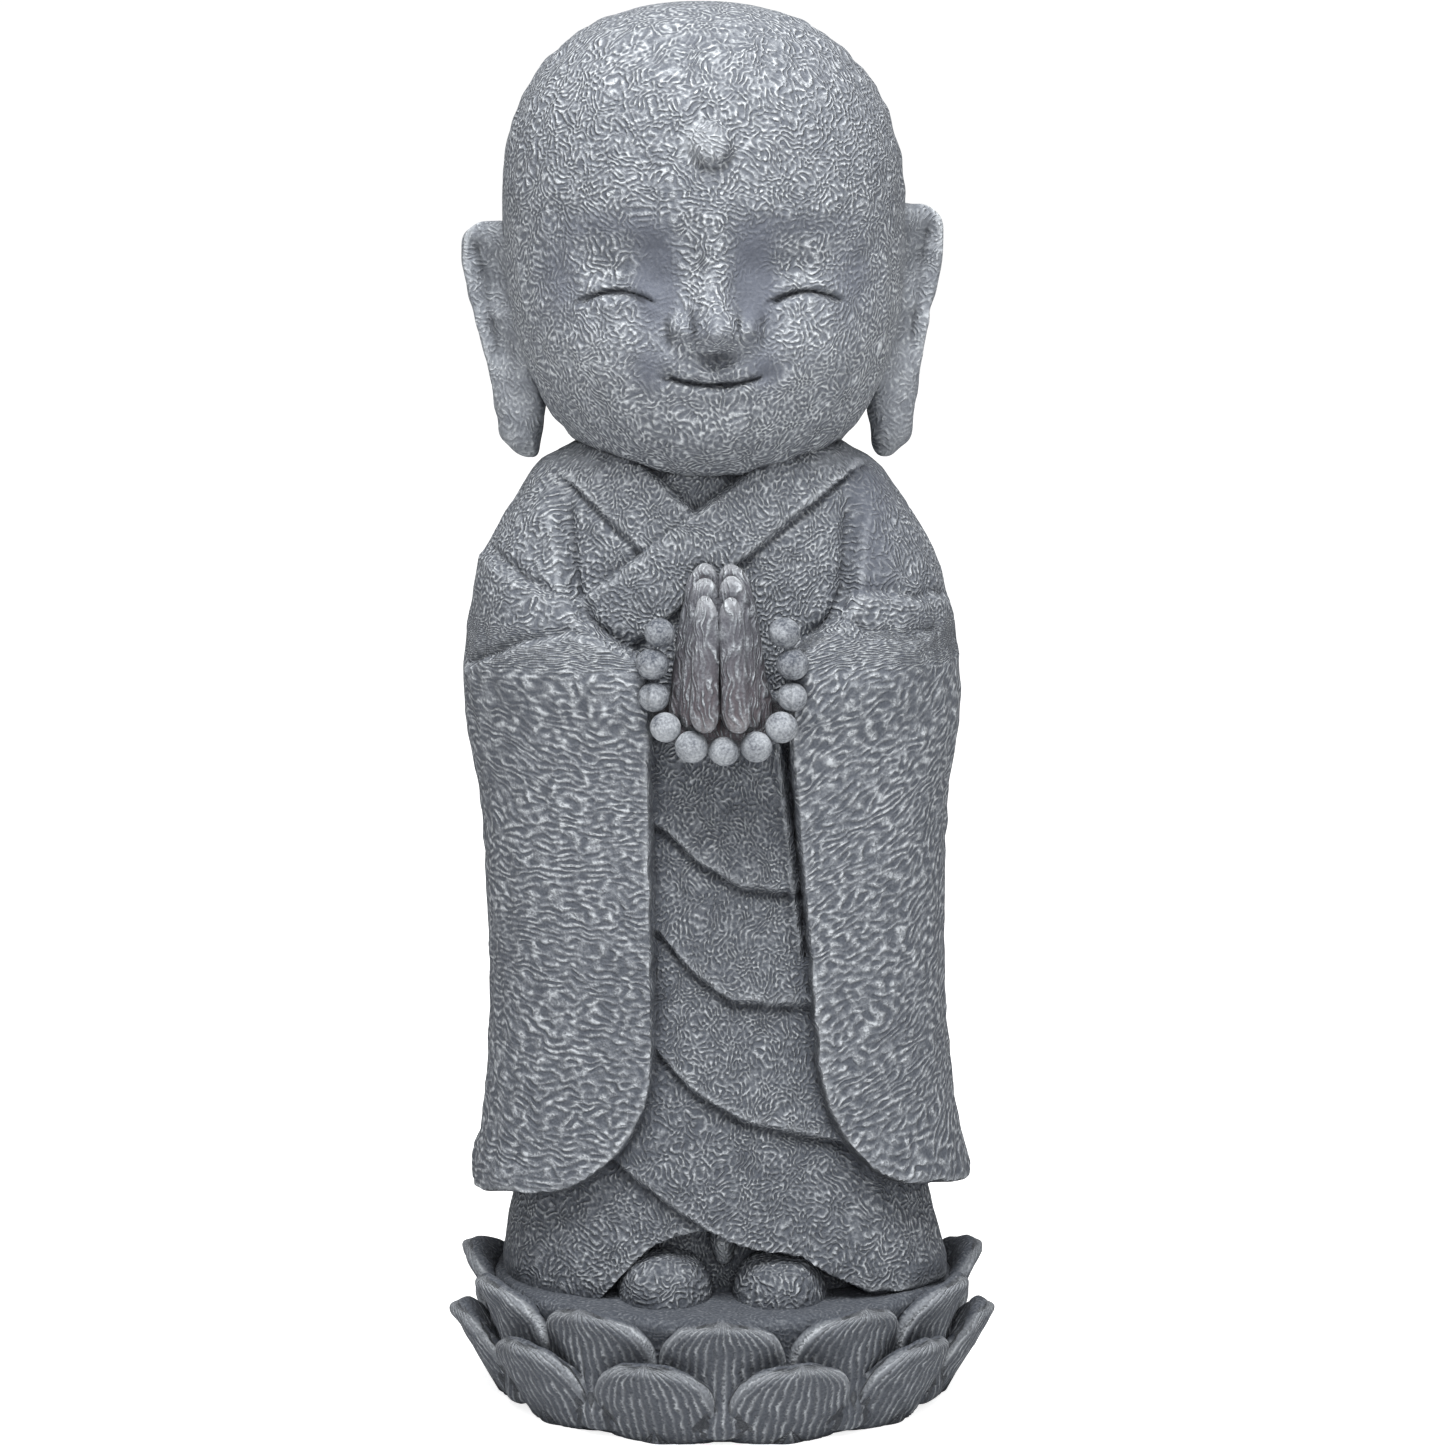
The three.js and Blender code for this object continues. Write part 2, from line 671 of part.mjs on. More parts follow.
// Everything of the figure, leaned sideways in step with its height, on its base.
function statue() {
  const figure = join([
    robeWithLayers(),
    armWithSleeve(-1, 24, 25, 11.7),
    armWithSleeve(1, 30, 38.5, 12.8),
    forearm(-1),
    forearm(1),
    collar(),
    sleeveFolds(),
    head(),
    hands(),
    beads(),
    feet(),
  ]);
  const leanPerHeight = FIGURE_LEAN / (CROWN_HEIGHT - DECK_HEIGHT);
  const leaned = figure.transform([
    1, 0, 0, 0,
    0, 1, 0, 0,
    -leanPerHeight, 0, 1, 0,
    leanPerHeight * DECK_HEIGHT, 0, 0, 1,
  ]);
  const made = leaned.add(lotusBase()).getMesh();
  const geometry = new THREE.BufferGeometry();
  geometry.setAttribute("position", new THREE.BufferAttribute(made.vertProperties, 3));
  geometry.setIndex(new THREE.BufferAttribute(made.triVerts, 1));
  geometry.computeVertexNormals();
  return geometry;
}

const castStone = new THREE.MeshStandardMaterial({ color: 0x8a8e96, roughness: 0.9, metalness: 0 });
const statueMesh = new THREE.Mesh(statue(), castStone);
statueMesh.name = "jizo_statue";

const statueGroup = new THREE.Group();
statueGroup.add(statueMesh);
export default statueGroup;
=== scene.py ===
"""A child-monk garden statue with pressed palms on a lotus base, cast in blue-grey stone as one piece.

Every form is worked out in millimetres on a grid of two parameters, from the sizes named below. The forms are
fused into one closed solid, which is thinned, brought to metres and given one stone finish.
"""

import math

import bpy
import numpy as np
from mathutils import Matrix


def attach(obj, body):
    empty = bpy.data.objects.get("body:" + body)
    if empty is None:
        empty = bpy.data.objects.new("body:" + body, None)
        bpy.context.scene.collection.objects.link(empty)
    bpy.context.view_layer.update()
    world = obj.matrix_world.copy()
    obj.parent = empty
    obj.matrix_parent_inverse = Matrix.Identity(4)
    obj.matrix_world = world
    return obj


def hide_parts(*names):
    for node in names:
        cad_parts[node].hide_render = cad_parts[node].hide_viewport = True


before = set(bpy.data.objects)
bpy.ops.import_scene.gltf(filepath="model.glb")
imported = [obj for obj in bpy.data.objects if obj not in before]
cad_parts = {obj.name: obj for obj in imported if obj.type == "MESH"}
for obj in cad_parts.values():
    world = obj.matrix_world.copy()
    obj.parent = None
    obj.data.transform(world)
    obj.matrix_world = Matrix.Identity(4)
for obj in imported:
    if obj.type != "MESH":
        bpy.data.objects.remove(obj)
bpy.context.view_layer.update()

MM = 0.001

# Camera, at the photograph's angle
VIEW_HEIGHT = 243.7
VIEW_DISTANCE = 1600.0
VIEW_TILT = math.radians(8.0)
SENSOR = 36.0
LENS = 110.8

# Lotus base
BASE_FOOT_RADIUS = 79.0
BASE_WAIST_RADIUS = 80.0
DECK_HEIGHT = 45.0
DECK_RADIUS = 83.0
PETALS_IN_ROW = 11
PETAL_THICKNESS = 8.0
PETAL_CUP = 5.0
PETAL_INSET = 2.6
LOWER_PETAL_REACH = 98.5
LOWER_PETAL_ROOT = -20.0
LOWER_PETAL_TIP = 33.0
LOWER_PETAL_DIP = 2.0
UPPER_PETAL_REACH = 95.5
UPPER_PETAL_ROOT = 2.0
UPPER_PETAL_TIP = 49.0
UPPER_PETAL_DIP = 3.0
UPPER_PETAL_BEND = 12.0
GROUND_REACH = 300.0
GROUND_DEPTH = 30.0

# Figure
FIGURE_LEAN = 8.0
BODY_HEIGHT = 300.0
BODY_WIDTH = 178.0
BODY_DEPTH = 120.0
SECTION_POWER = 2 / 0.84
HEAD_HEIGHT = 167.0
HEAD_WIDTH = 142.0
HEAD_DEPTH = 140.0
HEAD_SINK = 12.0
HEAD_TURN = math.radians(3.0)
HEAD_SQUARENESS = 0.92
HEAD_WIDEST = 0.58
CROWN_POWER = 2.25
JAW_POWER = 2.7
CHIN_POWER = 3.9
LEFT_EAR_HEIGHT = 90.5
RIGHT_EAR_HEIGHT = 84.0
EAR_THICKNESS = 15.0
EAR_DROP = 6.0
EAR_SWEEP = math.radians(38.0)
EAR_SETBACK = 6.0
EAR_INNER_SHARE = 0.8
SLEEVE_BACK = 24.0
SLEEVE_CORNER_ACROSS = 75.0
SLEEVE_CORNER_RISE = 54.0
LAYER_STEP = 4.0
LAYER_FADE = 75.0

CROWN_HEIGHT = DECK_HEIGHT + BODY_HEIGHT - HEAD_SINK + HEAD_HEIGHT
CHIN_HEIGHT = CROWN_HEIGHT - HEAD_HEIGHT

# Face, up from the chin and out from its middle
FACE_MIDDLE = 0.5
EYE_ACROSS = 32.5
EYE_HALF_WIDTH = 12.5
EYE_UP = 64.0
EYE_ARCH = 3.8
MOUTH_HALF_WIDTH = 15.4
MOUTH_UP = 38.8
MOUTH_SAG = 2.6
BOSS_UP = 118.0

# Hands, beads and feet
HANDS_ACROSS = 3.0
HANDS_FOOT = 246.0
HAND_LENGTH = 62.0
HAND_WIDTH = 37.0
HAND_FORWARD = 61.0
BEAD_COUNT = 11
BEAD_DIAMETER = 11.0
BEAD_LOOP_WIDTH = 48.5
BEAD_LOOP_HEIGHT = 51.0
BEAD_LOOP_MIDDLE = 269.0
BEAD_SWING = 5.0
FOOT_WIDTH = 31.0
FOOT_HEIGHT = 17.0

# Fineness
BODY_ROW_STEP = 1.3
FRONT_RAYS = 75
FAN_RAYS = 118
BACK_RAYS = 26
HEAD_ROWS = 178
HEAD_COLUMNS = 228
TRIANGLES = 192000

# Stone pattern, laid round the statue's axis and drawn out along the sleeves
PATTERN_RADIUS = 66.0
SLEEVE_PATTERN_ACROSS = 60.0
SLEEVE_PATTERN_TOP = 276.0
SLEEVE_PATTERN_SHARES = (0.44, 0.98, 1.0)
RIGHT_SLEEVE_SLANT = 0.12
LEFT_SLEEVE_SLANT = -0.63

# Stone colours. The change from the foot's colours to the head's is partly brushing and partly painted light
# from above
DARK_AT_FOOT = (0.046, 0.052, 0.064, 1)
DARK_AT_HEAD = (0.088, 0.098, 0.12, 1)
PALE_AT_FOOT = (0.35, 0.37, 0.395, 1)
PALE_AT_HEAD = (0.57, 0.6, 0.63, 1)
# Grey of the smooth patches: painted shade in the eye sockets, by the mouth and in the left arm's crease
SMOOTH_PAINTED_SHADE_GREY = (0.1, 0.108, 0.142, 1)
# Grey of the hollows: partly patina and partly painted shade
HOLLOW_PATINA_AND_SHADE_GREY = (0.024, 0.027, 0.034, 1)
# Grey of the carved lines: painted shade in grooves too fine for the mesh
CARVED_LINE_SHADE_GREY = (0.02, 0.022, 0.028, 1)
RUST = (0.13, 0.075, 0.065, 1)

# Backdrop's strength as the camera sees it and as it lights the statue
BACKDROP_SEEN = 1.02
BACKDROP_LIT = 0.42


def lay_camera():
    """The camera, level across and tilted down at the statue from in front."""
    camera_data = bpy.data.cameras.new("camera")
    camera_data.lens = LENS
    camera_data.sensor_width = SENSOR
    camera = bpy.data.objects.new("camera", camera_data)
    camera.location = (
        0.0,
        -VIEW_DISTANCE * math.cos(VIEW_TILT) * MM,
        (VIEW_HEIGHT + VIEW_DISTANCE * math.sin(VIEW_TILT)) * MM,
    )
    camera.rotation_euler = (math.pi / 2 - VIEW_TILT, 0.0, 0.0)
    bpy.context.collection.objects.link(camera)
    bpy.context.scene.camera = camera


lay_camera()


def rise(value, low, high):
    """Smooth step: 0 up to low, 1 from high, and a cubic between."""
    t = np.clip((value - low) / (high - low), 0.0, 1.0)
    return t * t * (3.0 - 2.0 * t)


def squared(value, power):
    """A sine or cosine raised to a power, its sign kept, which squares a circle a little."""
    return np.sign(value) * np.abs(value) ** power


def hump(distance, spread):
    """Bell curve: 1 at distance 0, fading over the spread."""
    return np.exp(-((distance / spread) ** 2))


def smooth_curve(at, knots, values):
    """Cubic curve through the values at the rising knots, with the slopes of its neighbours."""
    knots = np.asarray(knots, float)
    values = np.asarray(values, float)
    slopes = np.gradient(values, knots)
    i = np.clip(np.searchsorted(knots, at) - 1, 0, len(knots) - 2)
    width = knots[i + 1] - knots[i]
    t = np.clip((at - knots[i]) / width, 0.0, 1.0)
    low = (1 + 2 * t) * (1 - t) ** 2 * values[i] + t * (1 - t) ** 2 * width * slopes[i]
    high = t * t * (3 - 2 * t) * values[i + 1] - t * t * (1 - t) * width * slopes[i + 1]
    return low + high


def closed_grid(name, points):
    """A closed mesh of a grid of points: rows run down, columns run round, and the end rows are poles."""
    rows, columns = points.shape[:2]
    vertices = np.concatenate([points[0, :1], points[1:-1].reshape(-1, 3), points[-1, :1]])
    ring = 1 + np.arange((rows - 2) * columns).reshape(rows - 2, columns)
    following = np.roll(ring, -1, axis=1)
    quads = np.stack([ring[:-1], ring[1:], following[1:], following[:-1]], axis=-1).reshape(-1, 4)
    last = len(vertices) - 1
    top = np.stack([np.zeros(columns, int), ring[0], following[0]], axis=-1)
    bottom = np.stack([ring[-1], np.full(columns, last), following[-1]], axis=-1)
    triangles = np.concatenate([top, bottom])
    mesh = bpy.data.meshes.new(name)
    mesh.vertices.add(len(vertices))
    mesh.vertices.foreach_set("co", vertices.astype(np.float32).ravel())
    corners = np.concatenate([quads.ravel(), triangles.ravel()])
    sizes = np.concatenate([np.full(len(quads), 4), np.full(len(triangles), 3)])
    mesh.loops.add(len(corners))
    mesh.loops.foreach_set("vertex_index", corners)
    mesh.polygons.add(len(sizes))
    mesh.polygons.foreach_set("loop_start", np.cumsum(sizes) - sizes)
    mesh.update(calc_edges=True)
    return mesh


def piece(mesh):
    """An object that holds the mesh, laid in the scene."""
    made = bpy.data.objects.new(mesh.name, mesh)
    bpy.context.collection.objects.link(made)
    return made


def lean(points):
    """Leans the figure sideways in step with its height above the deck."""
    leaned = points.copy()
    leaned[..., 0] -= FIGURE_LEAN * (points[..., 2] - DECK_HEIGHT) / (CROWN_HEIGHT - DECK_HEIGHT)
    return leaned


def egg_points(centre, half_sizes, rows=24, columns=32, power=1.0):
    """An egg: a sphere's grid stretched to three half sizes. A power under 1 makes its ends blunter."""
    down = np.linspace(0.0, math.pi, rows)[:, None]
    round_ = np.linspace(0.0, 2 * math.pi, columns, endpoint=False)[None, :]
    ring = np.sin(down) ** power
    ring[0] = ring[-1] = 0.0
    return np.stack(
        [
            centre[0] + half_sizes[0] * ring * np.cos(round_),
            centre[1] + half_sizes[1] * ring * np.sin(round_),
            centre[2] + half_sizes[2] * np.cos(down) * np.ones_like(round_),
        ],
        axis=-1,
    )


# Sections of the robe and of the arms with their sleeves: height up the body, width and depth, in hundredths
# of the body's own
ROBE_SECTIONS = np.array([
    [-2, 90.5, 98], [4, 88.5, 97], [11, 83.5, 91], [21, 79, 84], [35, 78, 79], [51, 80, 76], [66, 84, 76],
    [76, 86, 77], [85, 84, 77], [91, 77, 75], [95.5, 67, 72], [100, 52, 64], [103.5, 34, 48],
], float)
ARM_SECTIONS = np.array([
    [8, 98, 101], [11.7, 102, 104], [16.3, 98.5, 101], [27.3, 93.8, 97.5], [45.7, 92.8, 97], [58.7, 94.8, 98],
    [66, 98.9, 100], [73, 99.8, 101], [80.3, 96.6, 97], [87.7, 89, 91], [94.7, 74.7, 84], [101, 60, 74],
], float)


def section_sizes(sections, z):
    """Half width and half depth of the section at a height."""
    up = (z - DECK_HEIGHT) * 100 / BODY_HEIGHT
    half_width = smooth_curve(up, sections[:, 0], sections[:, 1]) * BODY_WIDTH / 200
    half_depth = smooth_curve(up, sections[:, 0], sections[:, 2]) * BODY_DEPTH / 200
    return half_width, half_depth


def reach(half_width, half_depth, start, ray_x, ray_y):
    """How far a ray from (start, 0) runs to the section, where |x / width|^n + |y / depth|^n is 1.

    It is found by halving the stretch of the ray that holds it."""
    near = np.zeros(np.broadcast(half_width, start, ray_x).shape)
    far = near + 1.5 * BODY_WIDTH
    for _ in range(26):
        middle = (near + far) / 2
        level = (np.abs(start + middle * ray_x) / half_width) ** SECTION_POWER
        level = level + (np.abs(middle * ray_y) / half_depth) ** SECTION_POWER
        near = np.where(level < 1, middle, near)
        far = np.where(level < 1, far, middle)
    return (near + far) / 2


def body_rays():
    """Rays round a spine that runs across the body: straight forward, round +X, straight back and round -X.

    Each has a start, as a share of the spine's half length, and a direction. The fan round -X runs from the
    back to the front, so it mirrors the other fan from its far end."""
    front = np.linspace(-1, 1, FRONT_RAYS, endpoint=False)
    back = np.linspace(1, -1, BACK_RAYS, endpoint=False)
    turn = np.linspace(0, 1, FAN_RAYS, endpoint=False)
    fan = np.radians(-90 + 180 * (0.72 * turn + 0.28 * turn**2.2))
    mirrored = math.pi - np.concatenate([[math.pi / 2], fan[:0:-1]])
    starts = np.concatenate([front, np.ones(FAN_RAYS), back, -np.ones(FAN_RAYS)])
    forward = np.full(FRONT_RAYS, -math.pi / 2)
    backward = np.full(BACK_RAYS, math.pi / 2)
    angles = np.concatenate([forward, fan, backward, mirrored])
    return starts, np.cos(angles), np.sin(angles)


# Each sleeve's edge across at the wrist and at its low corner, and its hem's height
RIGHT_SLEEVE = (21.5, 22.5, 80.0)
LEFT_SLEEVE = (27.0, 34.5, 83.5)


def sleeve_distance(x, z, edge_top, edge_low, hem):
    """How far a place on the front lies inside a sleeve's outline, in millimetres.

    The outline runs down the front edge, round a quarter ellipse to the hem, and above the wrist in along the
    forearm and up to the shoulder."""
    corner_x = SLEEVE_CORNER_ACROSS
    corner_z = hem + SLEEVE_CORNER_RISE
    heights = [corner_z, 243, 272, 277, 281, 287, 296, 315, 348]
    edges = [edge_low, edge_top, edge_top, 31, 37, 45, 50, 52.5, 58]
    edge = np.interp(z, heights, edges)
    slope = np.interp(z, [243, 266, 269, 276, 280, 300], [0, 0, 1.6, 1.6, 0.8, 0.3])
    beside = (x - edge) / np.sqrt(1 + slope**2)
    across = np.maximum(corner_x - x, 0.0)
    below = np.maximum(corner_z - z, 0.0)
    stretch = np.hypot(across / (corner_x - edge_low), below / (corner_z - hem))
    corner = (1 - stretch) * np.hypot(across, below) / np.maximum(stretch, 1e-6)
    above_hem = z - (hem - 4.0 * rise(x, corner_x, corner_x + 14))
    return np.where(z > corner_z, beside, np.where(x > corner_x, above_hem, corner))


def inside_sleeve(x, z):
    """How far a place on the front lies inside the outline of the sleeve on its side."""
    return np.where(x > 0, sleeve_distance(x, z, *LEFT_SLEEVE), sleeve_distance(-x, z, *RIGHT_SLEEVE))


def line_side(x, z, start, end):
    """Signed distance to a line, above it positive, and how far along it a place lies, from 0 to 1."""
    along_x, along_z = end[0] - start[0], end[1] - start[1]
    length = math.hypot(along_x, along_z)
    away = ((z - start[1]) * along_x - (x - start[0]) * along_z) / length
    if along_x < 0:
        away = -away
    along = ((x - start[0]) * along_x + (z - start[1]) * along_z) / length**2
    return away, along


# Hems of the skirt's layers, each as places across and up, in millimetres
SKIRT_HEMS = [
    ([-60, -17.3, -5, 9, 21.3, 60], [240, 212, 200.6, 192.4, 190.6, 190]),
    ([-60, -19.6, -9.2, 4.8, 27.8, 60], [212, 175.6, 162.7, 151.9, 150, 150]),
    ([-60, -22.3, -10, 7.6, 28.7, 60], [175, 135, 120.5, 109.7, 104.3, 96]),
    (
        [-70, -34, -14.4, 3.2, 17.4, 27.8, 38.3, 52.3, 64.5, 90],
        [122, 91.6, 77, 66, 62.4, 61, 53.7, 47, 45, 44],
    ),
]

# The edge of the arched opening over the feet, as places across and up
FOOT_OPENING = (
    [-60, -44, -37, -31, -23.4, -8, 0, 3.2, 17.4, 27.8, 38.3, 46, 54, 70],
    [30, 43, 51, 57.5, 64.6, 69, 68, 66, 62.4, 61, 53.7, 49.5, 43, 30],
)


def robe_relief(x, z):
    """The robe's folds on the front: a sum of smooth steps at its hems and edges, and bell curves along them.

    They are the lapped skirt layers, the arch over the feet, a pleat by the sleeve and the crossed bands."""
    relief = np.zeros(np.broadcast(x, z).shape)
    for across, heights in SKIRT_HEMS:
        above = z - np.interp(x, across, heights)
        layer = rise(above, -0.9, 0.9) * (1 - np.clip(above / LAYER_FADE, 0, 1)) ** 1.5
        relief += LAYER_STEP * layer - 1.2 * hump(above + 2.2, 1.8)
    under_opening = np.interp(x, *FOOT_OPENING) - z
    relief -= 15.0 * rise(under_opening, -1.2, 1.4)
    pleat_x = np.interp(z, [160, 168, 240], [31.5, 29.5, 22.8])
    pleat_on = rise(z, 160, 172) * (1 - rise(z, 242, 250))
    relief += pleat_on * (3.5 * hump(x - pleat_x, 1.3) - 6.0 * hump(x - pleat_x - 3.4, 1.6))
    over_top, _ = line_side(x, z, (-36.9, 299.0), (17.7, 339.7))
    over_low, _ = line_side(x, z, (11.5, 307.5), (56.7, 342.5))
    under_top, _ = line_side(x, z, (-22.9, 339.7), (-3.8, 321.9))
    under_low, _ = line_side(x, z, (-57.8, 342.5), (-21.8, 308.6))
    chest = rise(z, 270, 285)
    over = rise(-over_top, -0.8, 0.8) * rise(over_low, -0.9, 0.9) * chest
    under = rise(-under_top, -0.8, 0.8) * rise(under_low, -0.9, 0.9) * rise(over_top, -0.5, 0.5) * chest
    relief += 3.8 * over + 2.4 * under
    neck = rise(over_top, -0.5, 0.8) * rise(under_top, -0.5, 0.8) * chest
    relief -= 3.0 * neck
    right_of = rise(x, -40, -34)
    relief -= chest * right_of * 0.8 * (hump(over_top - 1.5, 1.4) + hump(over_low + 1.5, 1.4))
    relief -= chest * 0.8 * rise(over_top, 0, 2) * (hump(under_low + 1.4, 1.4) + hump(under_top - 1.4, 1.4))
    return relief


# Lines across the sleeves where the cloth below laps over the cloth above: places across, heights, the step
# and the length over which it fades
SLEEVE_FOLDS = [
    ([-86, -75.3, -63.9, -53.6], [311, 305.6, 298.7, 294], 3.6, 30),
    ([-86, -80.4, -64.1, -49, -37.5], [267, 269.3, 277.5, 281.9, 279.2], 3.4, 26),
    ([47.6, 51.7, 58.6, 65, 72.5, 79, 86.3], [292.2, 295.8, 294.6, 294.4, 291.4, 292.6, 289.5], 2.1, 14),
    ([44.5, 50, 54.8, 60, 65.2, 78], [284.7, 284.6, 281.4, 281.2, 279.2, 280], 1.3, 16),
]


def arm_relief(x, z):
    """The sleeves' relief: a bell curve along each forearm, and a smooth step at each fold of the elbows."""
    relief = np.zeros(np.broadcast(x, z).shape)
    forearm_height = np.interp(np.abs(x), [26, 70], [262, 270])
    relief += 4.5 * hump(z - forearm_height, 17) * rise(np.abs(x), 14, 30) * (1 - rise(np.abs(x), 62, 84))
    for across, heights, height, fade in SLEEVE_FOLDS:
        below = np.interp(x, across, heights) - z
        reach_in = rise(x, across[0] - 4, across[0] + 3) * (1 - rise(x, across[-1] - 3, across[-1] + 4))
        relief += reach_in * height * rise(below, -0.9, 0.9) * (1 - rise(below, 0, fade))
        relief -= reach_in * 1.1 * hump(below + 1.9, 1.6)
    return relief


def body():
    """The robe and sleeves: along each ray, the robe's reach and the arms' mixed by the sleeves' outline."""
    starts, ray_x, ray_y = body_rays()
    low, high = DECK_HEIGHT - 5, DECK_HEIGHT + 1.035 * BODY_HEIGHT
    z = np.linspace(high, low, int((high - low) / BODY_ROW_STEP))[:, None]
    robe_width, robe_depth = section_sizes(ROBE_SECTIONS, z)
    arm_width, arm_depth = section_sizes(ARM_SECTIONS, z)
    start = starts[None, :] * robe_width * 0.5
    ray_x, ray_y = ray_x[None, :], ray_y[None, :]
    robe = reach(robe_width, robe_depth, start, ray_x, ray_y)
    arm = reach(arm_width, arm_depth, start, ray_x, ray_y)
    front = rise(-ray_y, 0.05, 0.5)
    robe = robe + robe_relief(start + robe * ray_x, z) * front
    arm_x, arm_y = start + arm * ray_x, arm * ray_y
    arm = arm + arm_relief(arm_x, z) * front
    inside = inside_sleeve(arm_x, z)
    softness = 1.3 + 1.6 * rise(z, 272, 292) + 4 * rise(z, 318, 335)
    behind = 2.5 + 10 * rise(z, 250, 290)
    sleeve = rise(inside, -softness, softness) * (1 - rise(arm_y, SLEEVE_BACK - behind, SLEEVE_BACK + behind))
    sleeve = sleeve * rise(z, 66, 72) * (1 - rise(z, 338, 350))
    crease = hump(inside + 1.5, 2.6) * rise(z, 276, 284) * (1 - rise(z, 322, 334)) * front
    length = robe + (arm - robe) * sleeve - 2.2 * crease
    x = start + length * ray_x
    y = length * ray_y
    points = np.stack([x, y, np.broadcast_to(z, x.shape)], axis=-1)
    ends = np.zeros((1, points.shape[1], 3))
    top, bottom = ends.copy(), ends.copy()
    top[..., 2] = high + 1
    bottom[..., 2] = low - 0.5
    return closed_grid("body", lean(np.concatenate([top, points, bottom])))


def head_spread(share, jaw_power=JAW_POWER):
    """The head's width at a share of its height, from 0 to 1: two super-ellipses that meet at its widest."""
    crown = np.clip((share - HEAD_WIDEST) / (1 - HEAD_WIDEST), 0, 1)
    jaw = np.clip((HEAD_WIDEST - share) / HEAD_WIDEST, 0, 1)
    crown_spread = (1 - crown**CROWN_POWER) ** (1 / CROWN_POWER)
    jaw_spread = (1 - jaw**jaw_power) ** (1 / jaw_power)
    return np.where(share > HEAD_WIDEST, crown_spread, jaw_spread)


def eye_arc(side):
    """The closed eye's carved line, a parabola: its height, and the share along it from -1 to 1."""
    share = (side - EYE_ACROSS) / EYE_HALF_WIDTH
    return EYE_UP + EYE_ARCH * (1 - share**2), share


def mouth_line(x):
    """The carved line between the lips, a parabola: its height, and the share along it from -1 to 1."""
    share = x / MOUTH_HALF_WIDTH
    return MOUTH_UP - MOUTH_SAG * (1 - share**2), share


def face_relief(x, up):
    """How far the face stands forward of the plain head: a sum of bell curves and carved lines."""
    half = HEAD_WIDTH / 2
    side = np.abs(x)
    relief = -4.5 * hump(side - 0.38 * half, 20) * hump(up - 74, 12)
    relief += 3.5 * hump(side - 0.51 * half, 20) * hump(up - 48, 18)
    relief += 1.5 * hump(x, 60) * hump(up - 96, 12)
    relief += 2.0 * hump(x, 22) * hump(up - 40, 12)
    relief += 3.0 * hump(x, 18) * hump(up - 16, 10)
    # Nose: a ridge down from the forehead, a round tip and two wings
    stations = [40, 48, 50.5, 53.5, 57, 63, 75, 90, 112, 130]
    height = smooth_curve(up, stations, [0, 0, 8.4, 13.0, 12.4, 8.0, 4.2, 2.6, 0.8, 0])
    width = np.interp(up, [50, 56, 62, 75, 90, 112], [7.4, 7.2, 6.2, 5.6, 6.2, 8.0])
    relief += height * hump(x, width)
    relief += np.where(x < 0, 6.8, 4.4) * hump(side - 11.6, 3.2) * hump(up - 55.6, 4.2)
    relief -= 1.9 * hump(side - 7.9, 1.2) * hump(up - 56, 3.6)
    relief -= 1.6 * hump(side - 15.6, 2.2) * hump(up - 55, 6)
    # Closed eyes: a bulging lid, the carved arc and the rim below it
    arc_height, eye = eye_arc(side)
    arc = up - arc_height
    on_eye = 1 - rise(np.abs(eye), 0.85, 1.12)
    relief += 2.0 * hump(side - EYE_ACROSS, 13) * hump(up - 68, 8)
    relief -= 2.2 * on_eye * hump(arc, 0.95)
    relief += 0.5 * on_eye * hump(arc + 3.0, 1.5) + 0.3 * on_eye * hump(arc - 3.0, 2.0)
    # Smiling mouth: lips parted by a carved line whose ends sink
    line_height, smile = mouth_line(x)
    line = up - line_height
    on_mouth = 1 - rise(np.abs(smile), 0.92, 1.12)
    relief += 1.4 * hump(line - 3.8, 3.0) * hump(smile, 0.8) + 1.3 * hump(line + 4.0, 3.2) * hump(smile, 0.5)
    relief -= 2.6 * on_mouth * hump(line, 1.1) + 1.3 * hump(side - 17.2, 3.2) * hump(up - 39.8, 3.2)
    # A raised round boss on the forehead, with a groove round it
    away = np.hypot(x, up - BOSS_UP)
    relief += 4.2 * (1 - rise(away, 5.6, 7.8)) + 0.8 * hump(away, 5) - 1.0 * hump(away - 9.0, 1.6)
    return relief


def head():
    """The head: sections of one outline, whose front half is pushed forward by the face.

    Rows are spaced evenly along the outline, and more closely down the face."""
    fine = np.linspace(0, 1, 4001)
    outline = np.hypot(np.diff(fine * HEAD_HEIGHT), np.diff(head_spread(fine) * HEAD_DEPTH / 2))
    middle = (fine[1:] + fine[:-1]) / 2
    weight = outline * (1 + 1.3 * rise(middle, 0.1, 0.22) * (1 - rise(middle, 0.48, 0.62)))
    run = np.concatenate([[0], np.cumsum(weight)])
    share = np.interp(np.linspace(1, 0, HEAD_ROWS) * run[-1], run, fine)[:, None]
    spread = head_spread(share)
    turn = np.linspace(0, 2 * math.pi, HEAD_COLUMNS, endpoint=False)[None, :]
    angle = turn + 0.45 * np.sin(turn) + math.pi / 2
    x = HEAD_WIDTH / 2 * spread * squared(np.cos(angle), HEAD_SQUARENESS)
    back = np.maximum(np.sin(angle), 0)
    front = np.maximum(-np.sin(angle), 0)
    nape = 1 - 0.3 * back * (1 - rise(share, 0, 0.45))
    behind = spread * back**HEAD_SQUARENESS * nape
    ahead = head_spread(share, CHIN_POWER) * front**HEAD_SQUARENESS
    y = HEAD_DEPTH / 2 * (behind - ahead)
    up = share * HEAD_HEIGHT
    y = y - face_relief(x, up) * rise(front * spread, 0.2, 0.7)
    points = np.stack([x, y, CHIN_HEIGHT + up * np.ones_like(x)], axis=-1)
    return closed_grid("head", lean(turn_head(points)))


def turn_head(points):
    """Turns points about the statue's upright axis by the head's turn."""
    turned = points.copy()
    turned[..., 0] = points[..., 0] * math.cos(HEAD_TURN) - points[..., 1] * math.sin(HEAD_TURN)
    turned[..., 1] = points[..., 0] * math.sin(HEAD_TURN) + points[..., 1] * math.cos(HEAD_TURN)
    return turned


